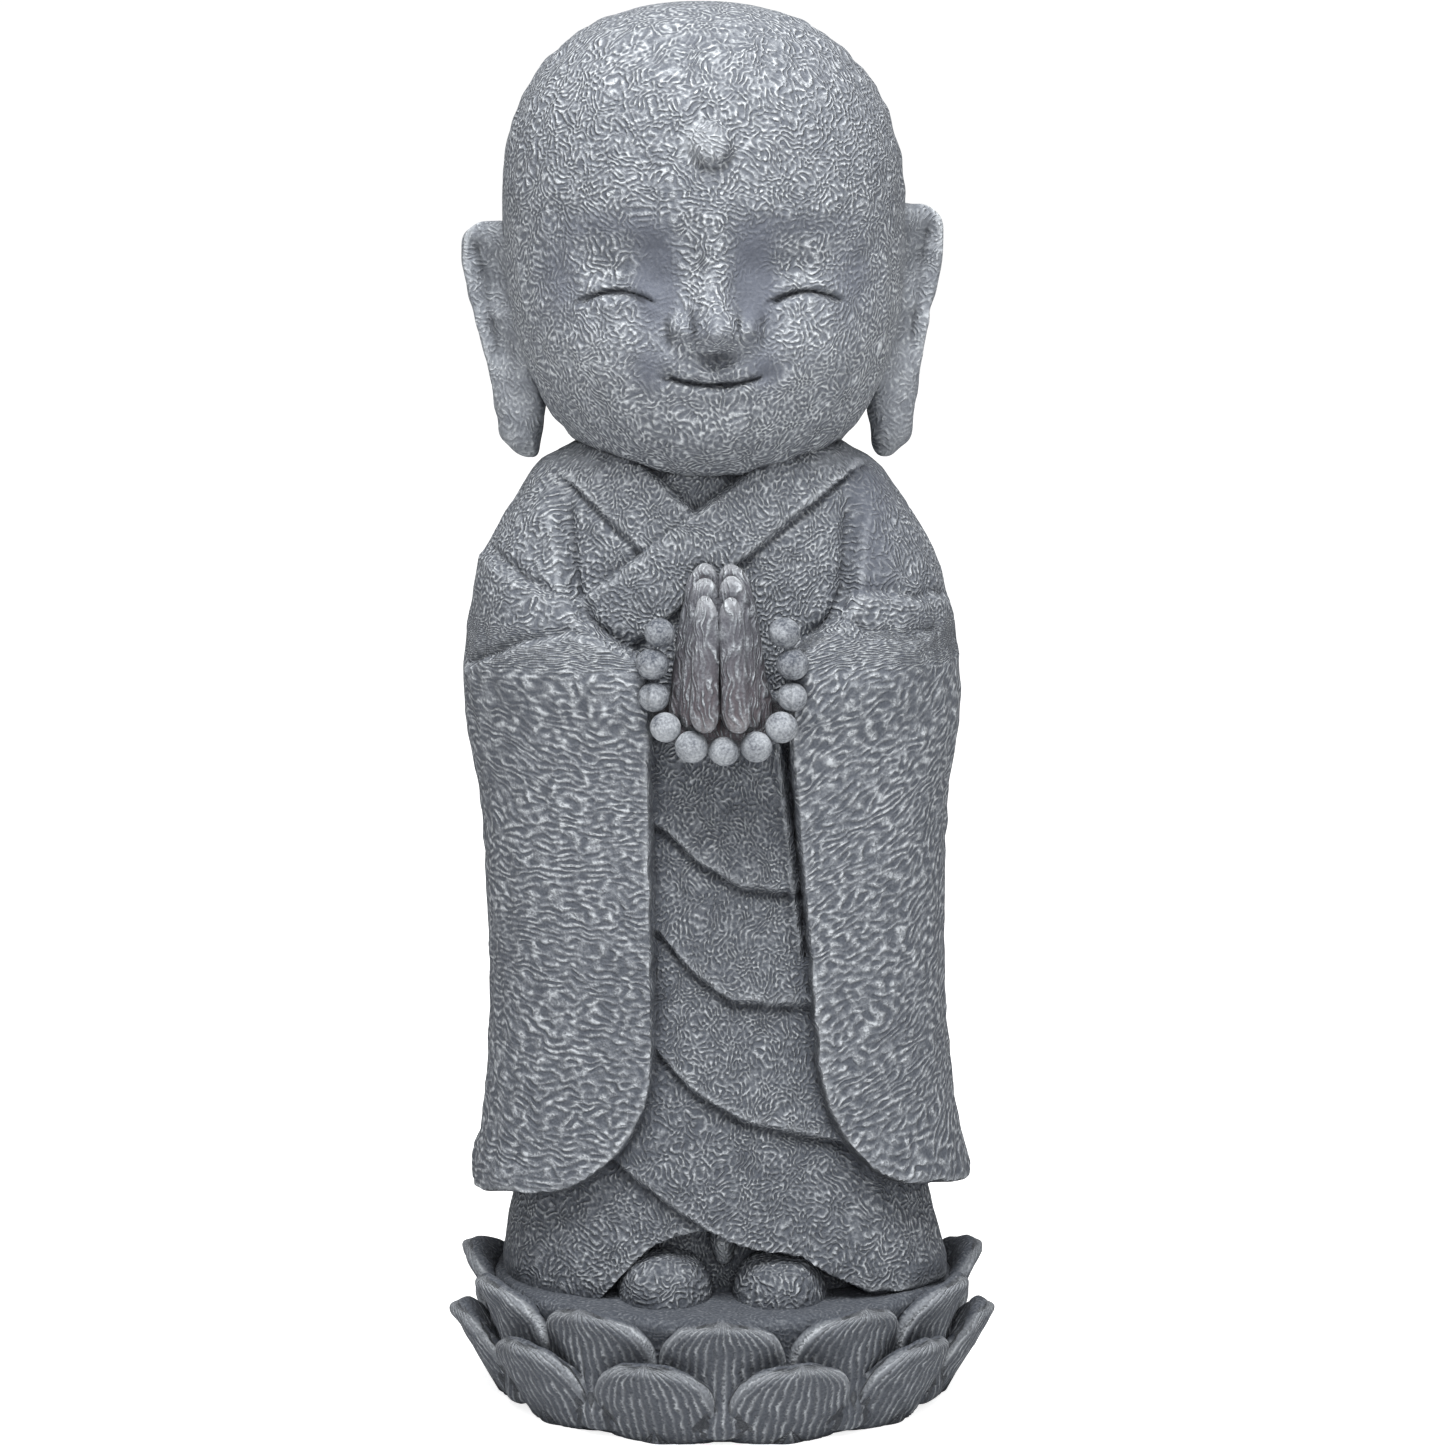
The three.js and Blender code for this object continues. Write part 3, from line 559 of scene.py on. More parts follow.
# How far an ear reaches out at a height up it: hundredths of its height, and of the head's half width
EAR_SECTIONS = np.array([
    [0, 99], [6, 104], [18, 105.5], [36, 107.5], [52, 111.5], [70, 117.5], [88, 121], [96, 121.5], [100, 121],
], float)


def ear(side):
    """One ear: a thick blade swept back from the cheek, with a rolled rim, a hollow, a fold and a long lobe.

    Rows run down the ear; columns run round each of its rounded-oblong sections."""
    down = np.linspace(0, 1, 84)
    up = (0.5 + 0.5 * np.cos(down * math.pi))[:, None]
    outer = smooth_curve(up * 100, EAR_SECTIONS[:, 0], EAR_SECTIONS[:, 1]) / 100 * HEAD_WIDTH / 2
    inner = HEAD_WIDTH / 2 * (EAR_INNER_SHARE + 0.03 * (1 - rise(up, 0.1, 0.35)))
    top_round = np.maximum(2 * up - 1, 0) ** 10
    foot_round = np.maximum(1 - 2 * up, 0) ** 5
    cap = (1 - np.clip(top_round + foot_round, 0, 1)) ** 0.42
    middle = outer - (outer - inner) * (0.5 + 0.12 * foot_round)
    half = (outer - inner) / 2 * cap
    angle = side * np.linspace(0, 2 * math.pi, 60, endpoint=False)[None, :]
    place = squared(np.cos(angle), 0.75)
    facing = squared(np.sin(angle), 0.75)
    to_front = np.maximum(-facing, 0)
    hollow = 8.0 * hump(place - 0.14, 0.36) * hump(up - 0.75, 0.14)
    hollow += 5.4 * hump(place - 0.12, 0.3) * hump(up - 0.47, 0.1)
    hollow -= 2.0 * hump(place - 0.2, 0.3) * hump(up - 0.61, 0.03)
    hollow -= 1.6 * hump(place - 0.1, 0.7) * hump(up - 0.12, 0.14)
    hollow += 3.2 * hump(place - 0.52, 0.16) * rise(up, 0.3, 0.5) * (1 - rise(up, 0.88, 0.95))
    rim = 2.4 * hump(place - 0.86, 0.13) * rise(up, 0.25, 0.5)
    rim = rim + 1.6 * hump(place - 0.14, 0.12) * rise(up, 0.42, 0.52) * (1 - rise(up, 0.78, 0.88))
    height = LEFT_EAR_HEIGHT if side > 0 else RIGHT_EAR_HEIGHT
    thick = EAR_THICKNESS / 2 * cap**0.8 * facing + (hollow - rim) * to_front * cap
    along = half * place
    points = np.stack(
        [
            side * (middle + along - thick * 0.35),
            EAR_SETBACK + (middle - (outer + inner) / 2 + along) * math.tan(EAR_SWEEP) + thick,
            CHIN_HEIGHT + EAR_DROP + up * height * np.ones_like(angle),
        ],
        axis=-1,
    )
    return closed_grid(f"ear_{'left' if side > 0 else 'right'}", lean(turn_head(points)))


def finger(name, x, y, bottom, top, half_width, half_depth, lean_in, taper_by):
    """A finger: an upright rounded rod that thins and leans in towards its tip."""
    down = np.linspace(0, 1, 44)[:, None]
    share = 0.5 + 0.5 * np.cos(down * math.pi)
    angle = np.linspace(0, 2 * math.pi, 34, endpoint=False)[None, :]
    size = (1 - np.maximum(2 * share - 1, 0) ** 7 - np.maximum(1 - 2 * share, 0) ** 7).clip(0) ** 0.5
    taper = 1 - taper_by * share
    points = np.stack(
        [
            x - lean_in * share + size * taper * half_width * squared(np.cos(angle), 0.85),
            y + 3 * share + size * taper * half_depth * squared(np.sin(angle), 0.85),
            bottom + share * (top - bottom) * np.ones_like(angle),
        ],
        axis=-1,
    )
    return closed_grid(name, lean(points))


def hands():
    """Two hands palm to palm: behind, the long fingers; in front, the shorter ones; below, the wrists."""
    made = []
    top = HANDS_FOOT + HAND_LENGTH
    for side, word in ((-1, "right"), (1, "left")):
        made.append(finger(
            f"palm_{word}", HANDS_ACROSS + side * 0.25 * HAND_WIDTH, 4 - HAND_FORWARD, HANDS_FOOT + 2,
            top - 1, 0.28 * HAND_WIDTH, 11, side * 0.12 * HAND_WIDTH, 0.45,
        ))
        made.append(finger(
            f"long_fingers_{word}", HANDS_ACROSS + side * 0.2 * HAND_WIDTH, -3 - HAND_FORWARD, HANDS_FOOT + 3,
            top - 5, 0.225 * HAND_WIDTH, 8, side * 0.085 * HAND_WIDTH, 0.4,
        ))
        made.append(finger(
            f"thumb_{word}", HANDS_ACROSS + side * 0.15 * HAND_WIDTH, -11 - HAND_FORWARD, HANDS_FOOT + 4,
            HANDS_FOOT + 0.82 * HAND_LENGTH, 0.15 * HAND_WIDTH, 6.0, side * 0.035 * HAND_WIDTH, 0.25,
        ))
    wrists = egg_points((HANDS_ACROSS, 16 - HAND_FORWARD, HANDS_FOOT + 6), (0.8 * HAND_WIDTH, 12, 12))
    made.append(closed_grid("wrists", lean(wrists)))
    return made


def bead_places():
    """Centres and radii of beads, evenly spaced round the lower part of a squared loop over the hands."""
    angle = np.radians(31 - 242 * np.linspace(0, 1, 400))
    loop = np.stack(
        [
            HANDS_ACROSS + 1 + BEAD_LOOP_WIDTH / 2 * squared(np.cos(angle), 0.8),
            -HAND_FORWARD - 4 - BEAD_SWING * rise(-np.sin(angle), 0, 1),
            BEAD_LOOP_MIDDLE + BEAD_LOOP_HEIGHT / 2 * squared(np.sin(angle), 0.8),
        ],
        axis=-1,
    )
    run = np.concatenate([[0], np.cumsum(np.linalg.norm(np.diff(loop, axis=0), axis=1))])
    stops = np.linspace(0, run[-1], BEAD_COUNT)
    places = np.stack([np.interp(stops, run, loop[:, i]) for i in range(3)], axis=-1)
    return places, BEAD_DIAMETER / 2 * (1 + 0.05 * np.sin(np.arange(BEAD_COUNT) * 2.3))


def beads():
    """The string's beads, nearly round eggs."""
    return [
        closed_grid(f"bead_{i}", lean(egg_points(place, (size, size, size * 0.96), 18, 24)))
        for i, (place, size) in enumerate(zip(*bead_places()))
    ]


def feet():
    """Two blunt eggs for the feet, and a small one for the pleat of cloth between them."""
    made = []
    for side, word in ((-1, "right"), (1, "left")):
        centre = (side * 0.66 * FOOT_WIDTH, -0.38 * BODY_DEPTH, DECK_HEIGHT - 1)
        foot = egg_points(centre, (FOOT_WIDTH / 2 + 1.5, 22, FOOT_HEIGHT), 26, 36, 0.66)
        made.append(closed_grid(f"foot_{word}", lean(foot)))
    pleat = egg_points((0.5, -0.36 * BODY_DEPTH, DECK_HEIGHT + 20), (4.2, 9, 9), 22, 26, 0.8)
    made.append(closed_grid("pleat_between_feet", lean(pleat)))
    return made


def base_core():
    """The base's core: a profile turned round the axis, with a flat foot, a waist and a flat deck."""
    profile = [
        (0, 0), (40, 0), (BASE_FOOT_RADIUS - 2, 0), (BASE_FOOT_RADIUS - 1, 1),
        (BASE_WAIST_RADIUS, 8), (BASE_WAIST_RADIUS, 36),
        (DECK_RADIUS - 0.5, DECK_HEIGHT - 5), (DECK_RADIUS, DECK_HEIGHT - 2.5),
        (DECK_RADIUS - 1, DECK_HEIGHT - 0.8), (DECK_RADIUS - 3, DECK_HEIGHT),
        (60, DECK_HEIGHT), (30, DECK_HEIGHT), (0, DECK_HEIGHT),
    ]
    angle = np.linspace(0, 2 * math.pi, 132, endpoint=False)[None, :]
    radius, height = np.array(profile[::-1], float).T[:, :, None]
    points = np.stack(
        [radius * np.cos(angle), radius * np.sin(angle), height * np.ones_like(angle)], axis=-1
    )
    return closed_grid("base_core", points)


def petal_form(row, azimuth):
    """Heights of a petal's root and tip. The front tips are a little lower than those at the sides."""
    dip = np.cos(azimuth) ** 2
    if row == "upper":
        return UPPER_PETAL_ROOT, UPPER_PETAL_TIP - UPPER_PETAL_DIP * dip
    return LOWER_PETAL_ROOT, LOWER_PETAL_TIP - LOWER_PETAL_DIP * dip


def petal_radius(row, z):
    """Radius of a row's petals at a height, from its root's to its tip's by a power of the share between.

    The lower row leans out nearly evenly, and the upper flares towards its tips."""
    if row == "upper":
        flare = np.clip((z - UPPER_PETAL_BEND) / (UPPER_PETAL_TIP - UPPER_PETAL_BEND), 0, 1.05) ** 2.2
        return BASE_WAIST_RADIUS + 4 + (UPPER_PETAL_REACH - BASE_WAIST_RADIUS - 4) * flare
    lean_out = np.clip(z / LOWER_PETAL_TIP, 0, 1.05) ** 0.85
    return BASE_FOOT_RADIUS + 1 + (LOWER_PETAL_REACH - BASE_FOOT_RADIUS - 1) * lean_out


def petal(row, i):
    """A petal: a rounded disc bent round the base, leaning out to its tip, its sides set back.

    Rings run out from the middle of its outer face over its edge to the middle of its inner face."""
    azimuth = 2 * math.pi / PETALS_IN_ROW * (i + (0 if row == "upper" else 0.5))
    root_height, tip_height = petal_form(row, azimuth)
    down = np.linspace(0, math.pi, 34)[:, None]
    around = np.linspace(0, 2 * math.pi, 64, endpoint=False)[None, :]
    flat = np.sin(down) ** 0.46
    flat[0] = flat[-1] = 0
    side = squared(np.cos(down), 0.7)
    across = flat * squared(np.sin(around), 0.86)
    height = flat * squared(np.cos(around), 0.86)
    point = 1.2 * hump(across, 0.16) * np.maximum(height, 0) ** 3
    z = root_height + (tip_height - root_height) * (height + 1) / 2 + point
    tilt = 2.4 if row == "upper" else 1.8
    drop = tilt * side * rise(height, 0.2, 1)
    lip = 0.9 * rise(np.hypot(across, height), 0.74, 0.93) * rise(height, -0.3, 0.2)
    pinch = 1.0 * hump(across, 0.12) * rise(height, 0.5, 0.95)
    radius = petal_radius(row, z) - PETAL_CUP * across**2
    radius = radius + side * PETAL_THICKNESS / 2 + (lip + pinch) * rise(side, 0, 0.6) - PETAL_INSET
    angle = azimuth + math.pi / PETALS_IN_ROW * 1.01 * across
    points = np.stack([radius * np.sin(angle), -radius * np.cos(angle), z - drop], axis=-1)
    return closed_grid(f"{row}_petal_{i}", points)


def petals():
    """Both rows of petals."""
    return [petal(row, i) for row in ("upper", "lower") for i in range(PETALS_IN_ROW)]


def ground_block():
    """A square block under the statue, cut away to leave it a flat underside."""
    turn = np.arange(4) * math.pi / 2
    points = np.zeros((5, 4, 3))
    points[1:-1, :, :2] = GROUND_REACH * np.stack([np.cos(turn), np.sin(turn)], axis=-1)
    points[2, :, 2] = -GROUND_DEPTH / 2
    points[3:, :, 2] = -GROUND_DEPTH
    return closed_grid("ground_block", points)


def evaluated(made):
    """The mesh of an object with its modifiers applied."""
    graph = bpy.context.evaluated_depsgraph_get()
    return bpy.data.meshes.new_from_object(made.evaluated_get(graph), depsgraph=graph)


def fuse(meshes, cutter):
    """One closed solid of many: each is joined on with a boolean, and the cutter taken away."""
    parts = [piece(mesh) for mesh in (*meshes, cutter)]
    whole = parts[0]
    for part in parts[1:]:
        joining = whole.modifiers.new(part.name, "BOOLEAN")
        joining.operation = "DIFFERENCE" if part is parts[-1] else "UNION"
        joining.solver = "MANIFOLD"
        joining.object = part
    fused = evaluated(whole)
    for part in parts:
        bpy.data.objects.remove(part)
    return fused


def thin(mesh, triangles):
    """The mesh with at most so many triangles, taken from the flattest places first."""
    part = piece(mesh)
    split = part.modifiers.new("split", "TRIANGULATE")
    split.quad_method = "SHORTEST_DIAGONAL"
    counted = len(mesh.loops) - 2 * len(mesh.polygons)
    less = part.modifiers.new("less", "DECIMATE")
    less.ratio = min(1.0, triangles / counted)
    thinned = evaluated(part)
    bpy.data.objects.remove(part)
    return thinned


def vertex_vectors(mesh, field):
    """A field of every vertex, its place or its normal, as rows of three numbers."""
    vectors = np.empty(len(mesh.vertices) * 3, np.float32)
    mesh.vertices.foreach_get(field, vectors)
    return vectors.reshape(-1, 3).astype(float)


def attribute_values(mesh, name):
    """A number attribute's value at every vertex."""
    values = np.empty(len(mesh.vertices), np.float32)
    mesh.attributes[name].data.foreach_get("value", values)
    return values.astype(float)


def bends(mesh, places, rounds=2):
    """How much the surface bends at each vertex, per millimetre: positive on ridges, negative in hollows.

    It is the mean over the neighbours of their drop below the vertex, along its normal, divided by the mean
    square of their distance, and then evened out between neighbours."""
    edges = np.empty(len(mesh.edges) * 2, np.int32)
    mesh.edges.foreach_get("vertices", edges)
    one, other = edges.reshape(-1, 2).T
    normals = vertex_vectors(mesh, "normal")
    along = places[other] - places[one]
    squares = (along**2).sum(axis=1)
    drop_one = -(along * normals[one]).sum(axis=1)
    drop_other = (along * normals[other]).sum(axis=1)
    count = len(places)
    both = np.concatenate([one, other])
    total = np.bincount(both, np.concatenate([drop_one, drop_other]), count)
    spread = np.bincount(both, np.concatenate([squares, squares]), count)
    bend = total / np.maximum(spread, 1e-9)
    degree = np.bincount(both, minlength=count)
    for _ in range(rounds):
        gathered = np.bincount(both, np.concatenate([bend[other], bend[one]]), count)
        bend = 0.4 * bend + 0.6 * gathered / np.maximum(degree, 1)
    return bend


def unevenness(places):
    """Soft lumps, a quarter of a millimetre high: a sum of waves of 7 to 16 mm that run every way."""
    draw = np.random.default_rng(7)
    total = np.zeros(len(places))
    for _ in range(16):
        way = draw.normal(size=3)
        way = way / np.linalg.norm(way) * 2 * math.pi / draw.uniform(7, 16)
        total += np.sin(places @ way + draw.uniform(0, 2 * math.pi))
    return total * 0.25 / math.sqrt(8)


def petal_places(x, y, z):
    """How each place lies on its nearest petal: across it from -1 to 1, whether on it, and how near its edge.

    The lines across draw together towards the petal's tip, as its veins do."""
    radius = np.hypot(x, y)
    turn = np.arctan2(x, -y)
    step = 2 * math.pi / PETALS_IN_ROW
    found = {}
    for row, shift in (("upper", 0.0), ("lower", 0.5)):
        near = np.round(turn / step - shift) + shift
        across = (turn - near * step) / (step / 2)
        root_height, tip_height = petal_form(row, near * step)
        share = (z - root_height) / (tip_height - root_height)
        outer = petal_radius(row, z) - PETAL_CUP * across**2 + PETAL_THICKNESS / 2 - PETAL_INSET
        height = np.clip(share * 2 - 1, 0, 0.999)
        width = (1 - height**2.3) ** (1 / 2.3)
        off = np.abs(radius - outer)
        off = off + 40 * rise(share, 1.05, 1.2) + 20 * rise(np.abs(across) / width, 1.1, 1.3)
        edge = rise(np.abs(across) ** 2.3 + height**2.3, 0.7, 0.93)
        found[row] = (off, across / width, edge)
    on_lower = found["lower"][0] < found["upper"][0]
    line = np.where(on_lower, found["lower"][1], found["upper"][1])
    edge = np.where(on_lower, found["lower"][2], found["upper"][2])
    off = np.minimum(found["lower"][0], found["upper"][0])
    return line, 1 - rise(off, 3.0, 5.0), edge


def smooth_and_painted_shade_patches(upright, up):
    """The face's smooth patches, from 0 to 1, with a quieter pattern and a darker colour, the dark being
    painted shade in the eye sockets and by the mouth: bell curves in the eye sockets, by the mouth and on the
    nose, less those of the nose's ridge and wings and of the upper lids."""
    side = np.abs(upright - FACE_MIDDLE)
    sockets = 1.1 * hump(side - 17, 8) * hump(up - 78, 12) + 0.8 * hump(side - 16, 8) * hump(up - 63, 11)
    sockets = sockets + 0.55 * hump(side - 50, 9) * hump(up - 72, 14)
    sockets = sockets + 0.5 * hump(side - 33, 16) * hump(up - 90, 4)
    mouth_side = 0.75 * hump(side - 20, 6) * hump(up - 41, 7) + 0.15 * hump(side, 22) * hump(up - 45, 6)
    nose = hump(upright, 5.5) * rise(up, 50, 54) * (1 - rise(up, 100, 120))
    nose = np.maximum(nose, hump(side - 10.4, 3.6) * hump(up - 56, 4.6))
    lid = hump(side - 32, 10) * hump(up - 78, 7)
    patches = np.clip(1.25 * (sockets + mouth_side) - 0.8 * nose - 0.5 * lid, 0, 1)
    return np.maximum(patches, 0.4 * hump(upright, 11) * hump(up - 56, 7))


def carved_line_shade(upright, up):
    """The painted shade in the carved eyes and mouth, from 0 to 1: a bell curve across each line."""
    arc_height, eye = eye_arc(np.abs(upright - FACE_MIDDLE))
    line_height, smile = mouth_line(upright - FACE_MIDDLE)
    eyes = hump(up - arc_height, 0.8) * (1 - rise(np.abs(eye), 0.9, 1.1))
    mouth = hump(up - line_height, 0.85) * (1 - rise(np.abs(smile), 0.95, 1.15))
    return np.maximum(eyes, mouth)


# How pale the stone is made at a height, from the floor to the crown: partly brushing and partly painted
# light, mostly paler upwards as the light falls from above
TONE_HEIGHTS = [0, 45, 58, 110, 200, 260, 330, 348, 375, 400, 430, 460, 500]
TONES = [0.14, 0.16, 0.22, 0.34, 0.43, 0.52, 0.62, 0.76, 1.0, 0.88, 0.7, 0.72, 0.78]


def brushing_and_painted_light_tone(upright, z, on_face, sleeve):
    """How pale the stone is made: by height, partly brushing and partly painted light from above; less on the
    skirt; painted shade on the upper lids; a painted highlight on the nose's tip and right wing.
    """
    up = z - CHIN_HEIGHT
    side = np.abs(upright - FACE_MIDDLE)
    tone = np.interp(z, TONE_HEIGHTS, TONES)
    tone = tone - 0.1 * (1 - sleeve) * (1 - rise(z, 230, 260)) * rise(z, 60, 90)
    # Painted highlight on the nose's tip and on its right wing
    tone = tone + on_face * 0.45 * hump(up - 58, 8) * (hump(upright, 8) + 0.8 * hump(upright + 11, 4))
    # Painted shade on the upper lids, to tone down the light falling on them
    tone = tone - on_face * 0.2 * hump(side - 32, 11) * hump(up - 77, 9)
    return np.clip(tone, 0, 1)


def lay_attributes(mesh):
    """Gives the mesh what the stone's colour and relief go by, one number a vertex each."""
    places = vertex_vectors(mesh, "co")
    x, y, z = places.T
    bend = bends(mesh, places)
    upright = x + FIGURE_LEAN * (z - DECK_HEIGHT) / (CROWN_HEIGHT - DECK_HEIGHT)
    radius = np.hypot(x, y)
    up = z - CHIN_HEIGHT
    side = np.abs(upright - FACE_MIDDLE)
    on_face = rise(up, 2, 8) * rise(-y, 20, 45)
    line, on_petal, petal_edge = petal_places(x, y, z)
    base = (1 - rise(z, 52, 57)) * rise(radius, 76, 81)
    base = np.maximum(base, 1 - rise(z, DECK_HEIGHT + 0.4, DECK_HEIGHT + 1.4))
    on_petal = on_petal * base * rise(radius, 80, 82)
    beads_near = np.zeros(len(x))
    for place, size in zip(*bead_places()):
        away = np.linalg.norm(np.stack([upright, y, z], axis=-1) - place, axis=-1)
        beads_near = np.maximum(beads_near, 1 - rise(away, size + 0.3, size + 1.2))
    hand = rise(-y, 50, 54) * (1 - rise(np.abs(upright - HANDS_ACROSS), 20, 24)) * rise(z, 240, 246)
    hand = hand * (1 - rise(z, 308, 312)) * (1 - beads_near)
    # Painted shade: a dark band down the crease of the left upper arm
    painted_crease_shade = hump(upright - 56, 9) * rise(z, 290, 300) * (1 - rise(z, 338, 345)) * rise(-y, 5, 20)
    # Smooth patches quiet the pattern; their darkening is painted shade in the sockets, by the mouth and in
    # the left arm's crease
    smooth = np.maximum(smooth_and_painted_shade_patches(upright, up) * on_face, 0.6 * painted_crease_shade)
    ears = rise(np.abs(upright) - HEAD_WIDTH / 2 * head_spread(np.clip(up / HEAD_HEIGHT, 0, 1)), -4, 1)
    ears = ears * rise(up, 4, 7) * (1 - rise(up, 97, 100))
    boss = (1 - rise(np.hypot(upright - FACE_MIDDLE, up - BOSS_UP), 6.5, 8.2)) * on_face
    inside = inside_sleeve(upright, z)
    sleeve = rise(inside, -0.5, 1.0) * (1 - rise(y, 21, 24)) * (1 - rise(z, 268, 285)) * rise(z, 70, 71)
    shade = rise(inside, -9, -1) * (1 - rise(inside, 0, 1.5))
    shade = shade * (1 - rise(z, 235, 250)) * (1 - rise(y, -20, -5))
    attributes = {
        "ridge": np.clip(bend * 8, 0, 1) * (1 - 0.6 * on_face * rise(60 - side, 0, 5)),
        # Hollows, darkened later partly as patina and partly as painted shade
        "hollow": np.clip(-bend * 6, 0, 1),
        "smooth": smooth,
        "ear": ears,
        "sleeve": sleeve,
        "shade": shade,
        "petal": on_petal,
        "petal_line": line,
        "petal_edge": petal_edge * on_petal,
        "base": base,
        "bead": beads_near,
        "hand": hand,
        "boss": boss,
        # Painted shade in the carved lines of the eyes and mouth
        "carved": carved_line_shade(upright, up) * on_face,
        # Tone: partly brushing and partly painted light from above, with painted shade on the lids and a
        # painted highlight on the nose
        "tone": brushing_and_painted_light_tone(upright, z, on_face, sleeve),
    }
    for name, values in attributes.items():
        mesh.attributes.new(name, "FLOAT", "POINT").data.foreach_set("value", values.astype(np.float32))
    facing = vertex_vectors(mesh, "normal").astype(np.float32)
    mesh.attributes.new("facing", "FLOAT_VECTOR", "POINT").data.foreach_set("vector", facing.ravel())


class Wire:
    """A shader socket that makes Math nodes when it is added, multiplied and so on."""

    def __init__(self, tree, socket):
        self.tree = tree
        self.socket = socket

    def math(self, operation, *values, clamp=False):
        """Adds a Math node that starts from this wire."""
        node = self.tree.nodes.new("ShaderNodeMath")
        node.operation = operation
        node.use_clamp = clamp
        for slot, value in zip(node.inputs, (self, *values)):
            put(self.tree, slot, value)
        return Wire(self.tree, node.outputs[0])

    def __add__(self, other):
        return self.math("ADD", other)

    def __sub__(self, other):
        return self.math("SUBTRACT", other)

    def __mul__(self, other):
        return self.math("MULTIPLY", other)

    def __pow__(self, other):
        return self.math("POWER", other)

    def __radd__(self, other):
        return self + other

    def __rmul__(self, other):
        return self * other

    def __rsub__(self, other):
        return self * -1.0 + other

    def rise(self, low, high):
        """Smooth step: 0 up to low and 1 from high."""
        node = self.tree.nodes.new("ShaderNodeMapRange")
        node.interpolation_type = "SMOOTHSTEP"
        for name, value in (("Value", self), ("From Min", low), ("From Max", high)):
            put(self.tree, node.inputs[name], value)
        return Wire(self.tree, node.outputs[0])


def put(tree, slot, value):
    """Links a wire to a socket, or sets the socket's own value."""
    if isinstance(value, Wire):
        tree.links.new(value.socket, slot)
    else:
        slot.default_value = value


class Shader:
    """A material's node tree, with one method that adds any node and others for the nodes used most."""

    def __init__(self, name):
        self.material = bpy.data.materials.new(name)
        self.material.use_nodes = True
        self.tree = self.material.node_tree
        self.surface = self.tree.nodes["Principled BSDF"]

    def node(self, kind, output, settings=None, **values):
        """Adds a node of a kind with its settings and its sockets' values or wires, and gives one output."""
        made = self.tree.nodes.new(kind)
        for name, value in (settings or {}).items():
            setattr(made, name, value)
        for name, value in values.items():
            put(self.tree, made.inputs[name.replace("_", " ")], value)
        return Wire(self.tree, made.outputs[output])

    def attribute(self, name):
        """A number that the mesh holds at every vertex."""
        return self.node("ShaderNodeAttribute", "Fac", {"attribute_name": name})

    def vector(self, operation, one, other):
        """Adds a Vector Math node of two vectors, or of a vector and the number that scales it."""
        made = self.tree.nodes.new("ShaderNodeVectorMath")
        made.operation = operation
        put(self.tree, made.inputs[0], one)
        put(self.tree, made.inputs[3 if operation == "SCALE" else 1], other)
        return Wire(self.tree, made.outputs[0])

    def mix(self, share, one, other):
        """A colour between two colours."""
        made = self.tree.nodes.new("ShaderNodeMix")
        made.data_type = "RGBA"
        put(self.tree, made.inputs[0], share)
        put(self.tree, made.inputs[6], one)
        put(self.tree, made.inputs[7], other)
        return Wire(self.tree, made.outputs[2])

    def blend(self, share, one, other):
        """A number between two numbers."""
        made = self.tree.nodes.new("ShaderNodeMix")
        put(self.tree, made.inputs[0], share)
        put(self.tree, made.inputs[2], one)
        put(self.tree, made.inputs[3], other)
        return Wire(self.tree, made.outputs[0])

    def noise(self, place, scale, detail=2.0, output="Fac"):
        """Cloudy noise, a number from 0 to 1 or a colour."""
        return self.node("ShaderNodeTexNoise", output, Vector=place, Scale=scale, Detail=detail)

    def worms(self, place, scale, frequency):
        """Short wavy stripes that turn every way on a plane: Gabor noise."""
        return self.node(
            "ShaderNodeTexGabor", "Value", {"gabor_type": "2D"},
            Vector=place, Scale=scale, Frequency=frequency, Anisotropy=0.0,
        )

    def parts(self, vector):
        """A vector's three numbers."""
        made = self.tree.nodes.new("ShaderNodeSeparateXYZ")
        put(self.tree, made.inputs[0], vector)
        return [Wire(self.tree, output) for output in made.outputs]

    def laid_flat(self, place, facing, ear):
        """Two coordinates over the surface: round the statue's axis and up, on an ear along x and up, and on
        what faces up along x and y."""
        x, y, z = self.parts(place)
        face_x, face_y, face_z = [part.math("ABSOLUTE") for part in self.parts(facing)]
        wobble = (self.noise(place, 0.15, 0.0) - 0.5) * 0.2
        upward = (face_z - wobble).math("GREATER_THAN", face_x.math("MAXIMUM", face_y))
        around = x.math("ARCTAN2", y * -1.0) * PATTERN_RADIUS
        across = self.blend(upward.math("MAXIMUM", ear.math("GREATER_THAN", 0.5)), around, x)
        return self.node("ShaderNodeCombineXYZ", "Vector", X=across, Y=self.blend(upward, z, y))

    def drawn_out(self, flat, share):
        """Stretches a pattern along the sleeves by a share, level on one sleeve and slanting on the other."""
        across = self.parts(flat)[0]
        left = across.math("GREATER_THAN", 0.0)
        middle = left * (2 * SLEEVE_PATTERN_ACROSS) - SLEEVE_PATTERN_ACROSS
        centre = self.node("ShaderNodeCombineXYZ", "Vector", X=middle, Y=SLEEVE_PATTERN_TOP)
        local = self.vector("SUBTRACT", flat, centre)
        turned = self.node(
            "ShaderNodeVectorRotate", "Vector", {"rotation_type": "Z_AXIS"},
            Vector=local, Angle=left * (LEFT_SLEEVE_SLANT - RIGHT_SLEEVE_SLANT) + RIGHT_SLEEVE_SLANT,
        )
        stretched = self.vector("MULTIPLY", turned, SLEEVE_PATTERN_SHARES)
        moved = self.vector("SUBTRACT", stretched, local)
        return self.vector("ADD", flat, self.vector("SCALE", moved, share))


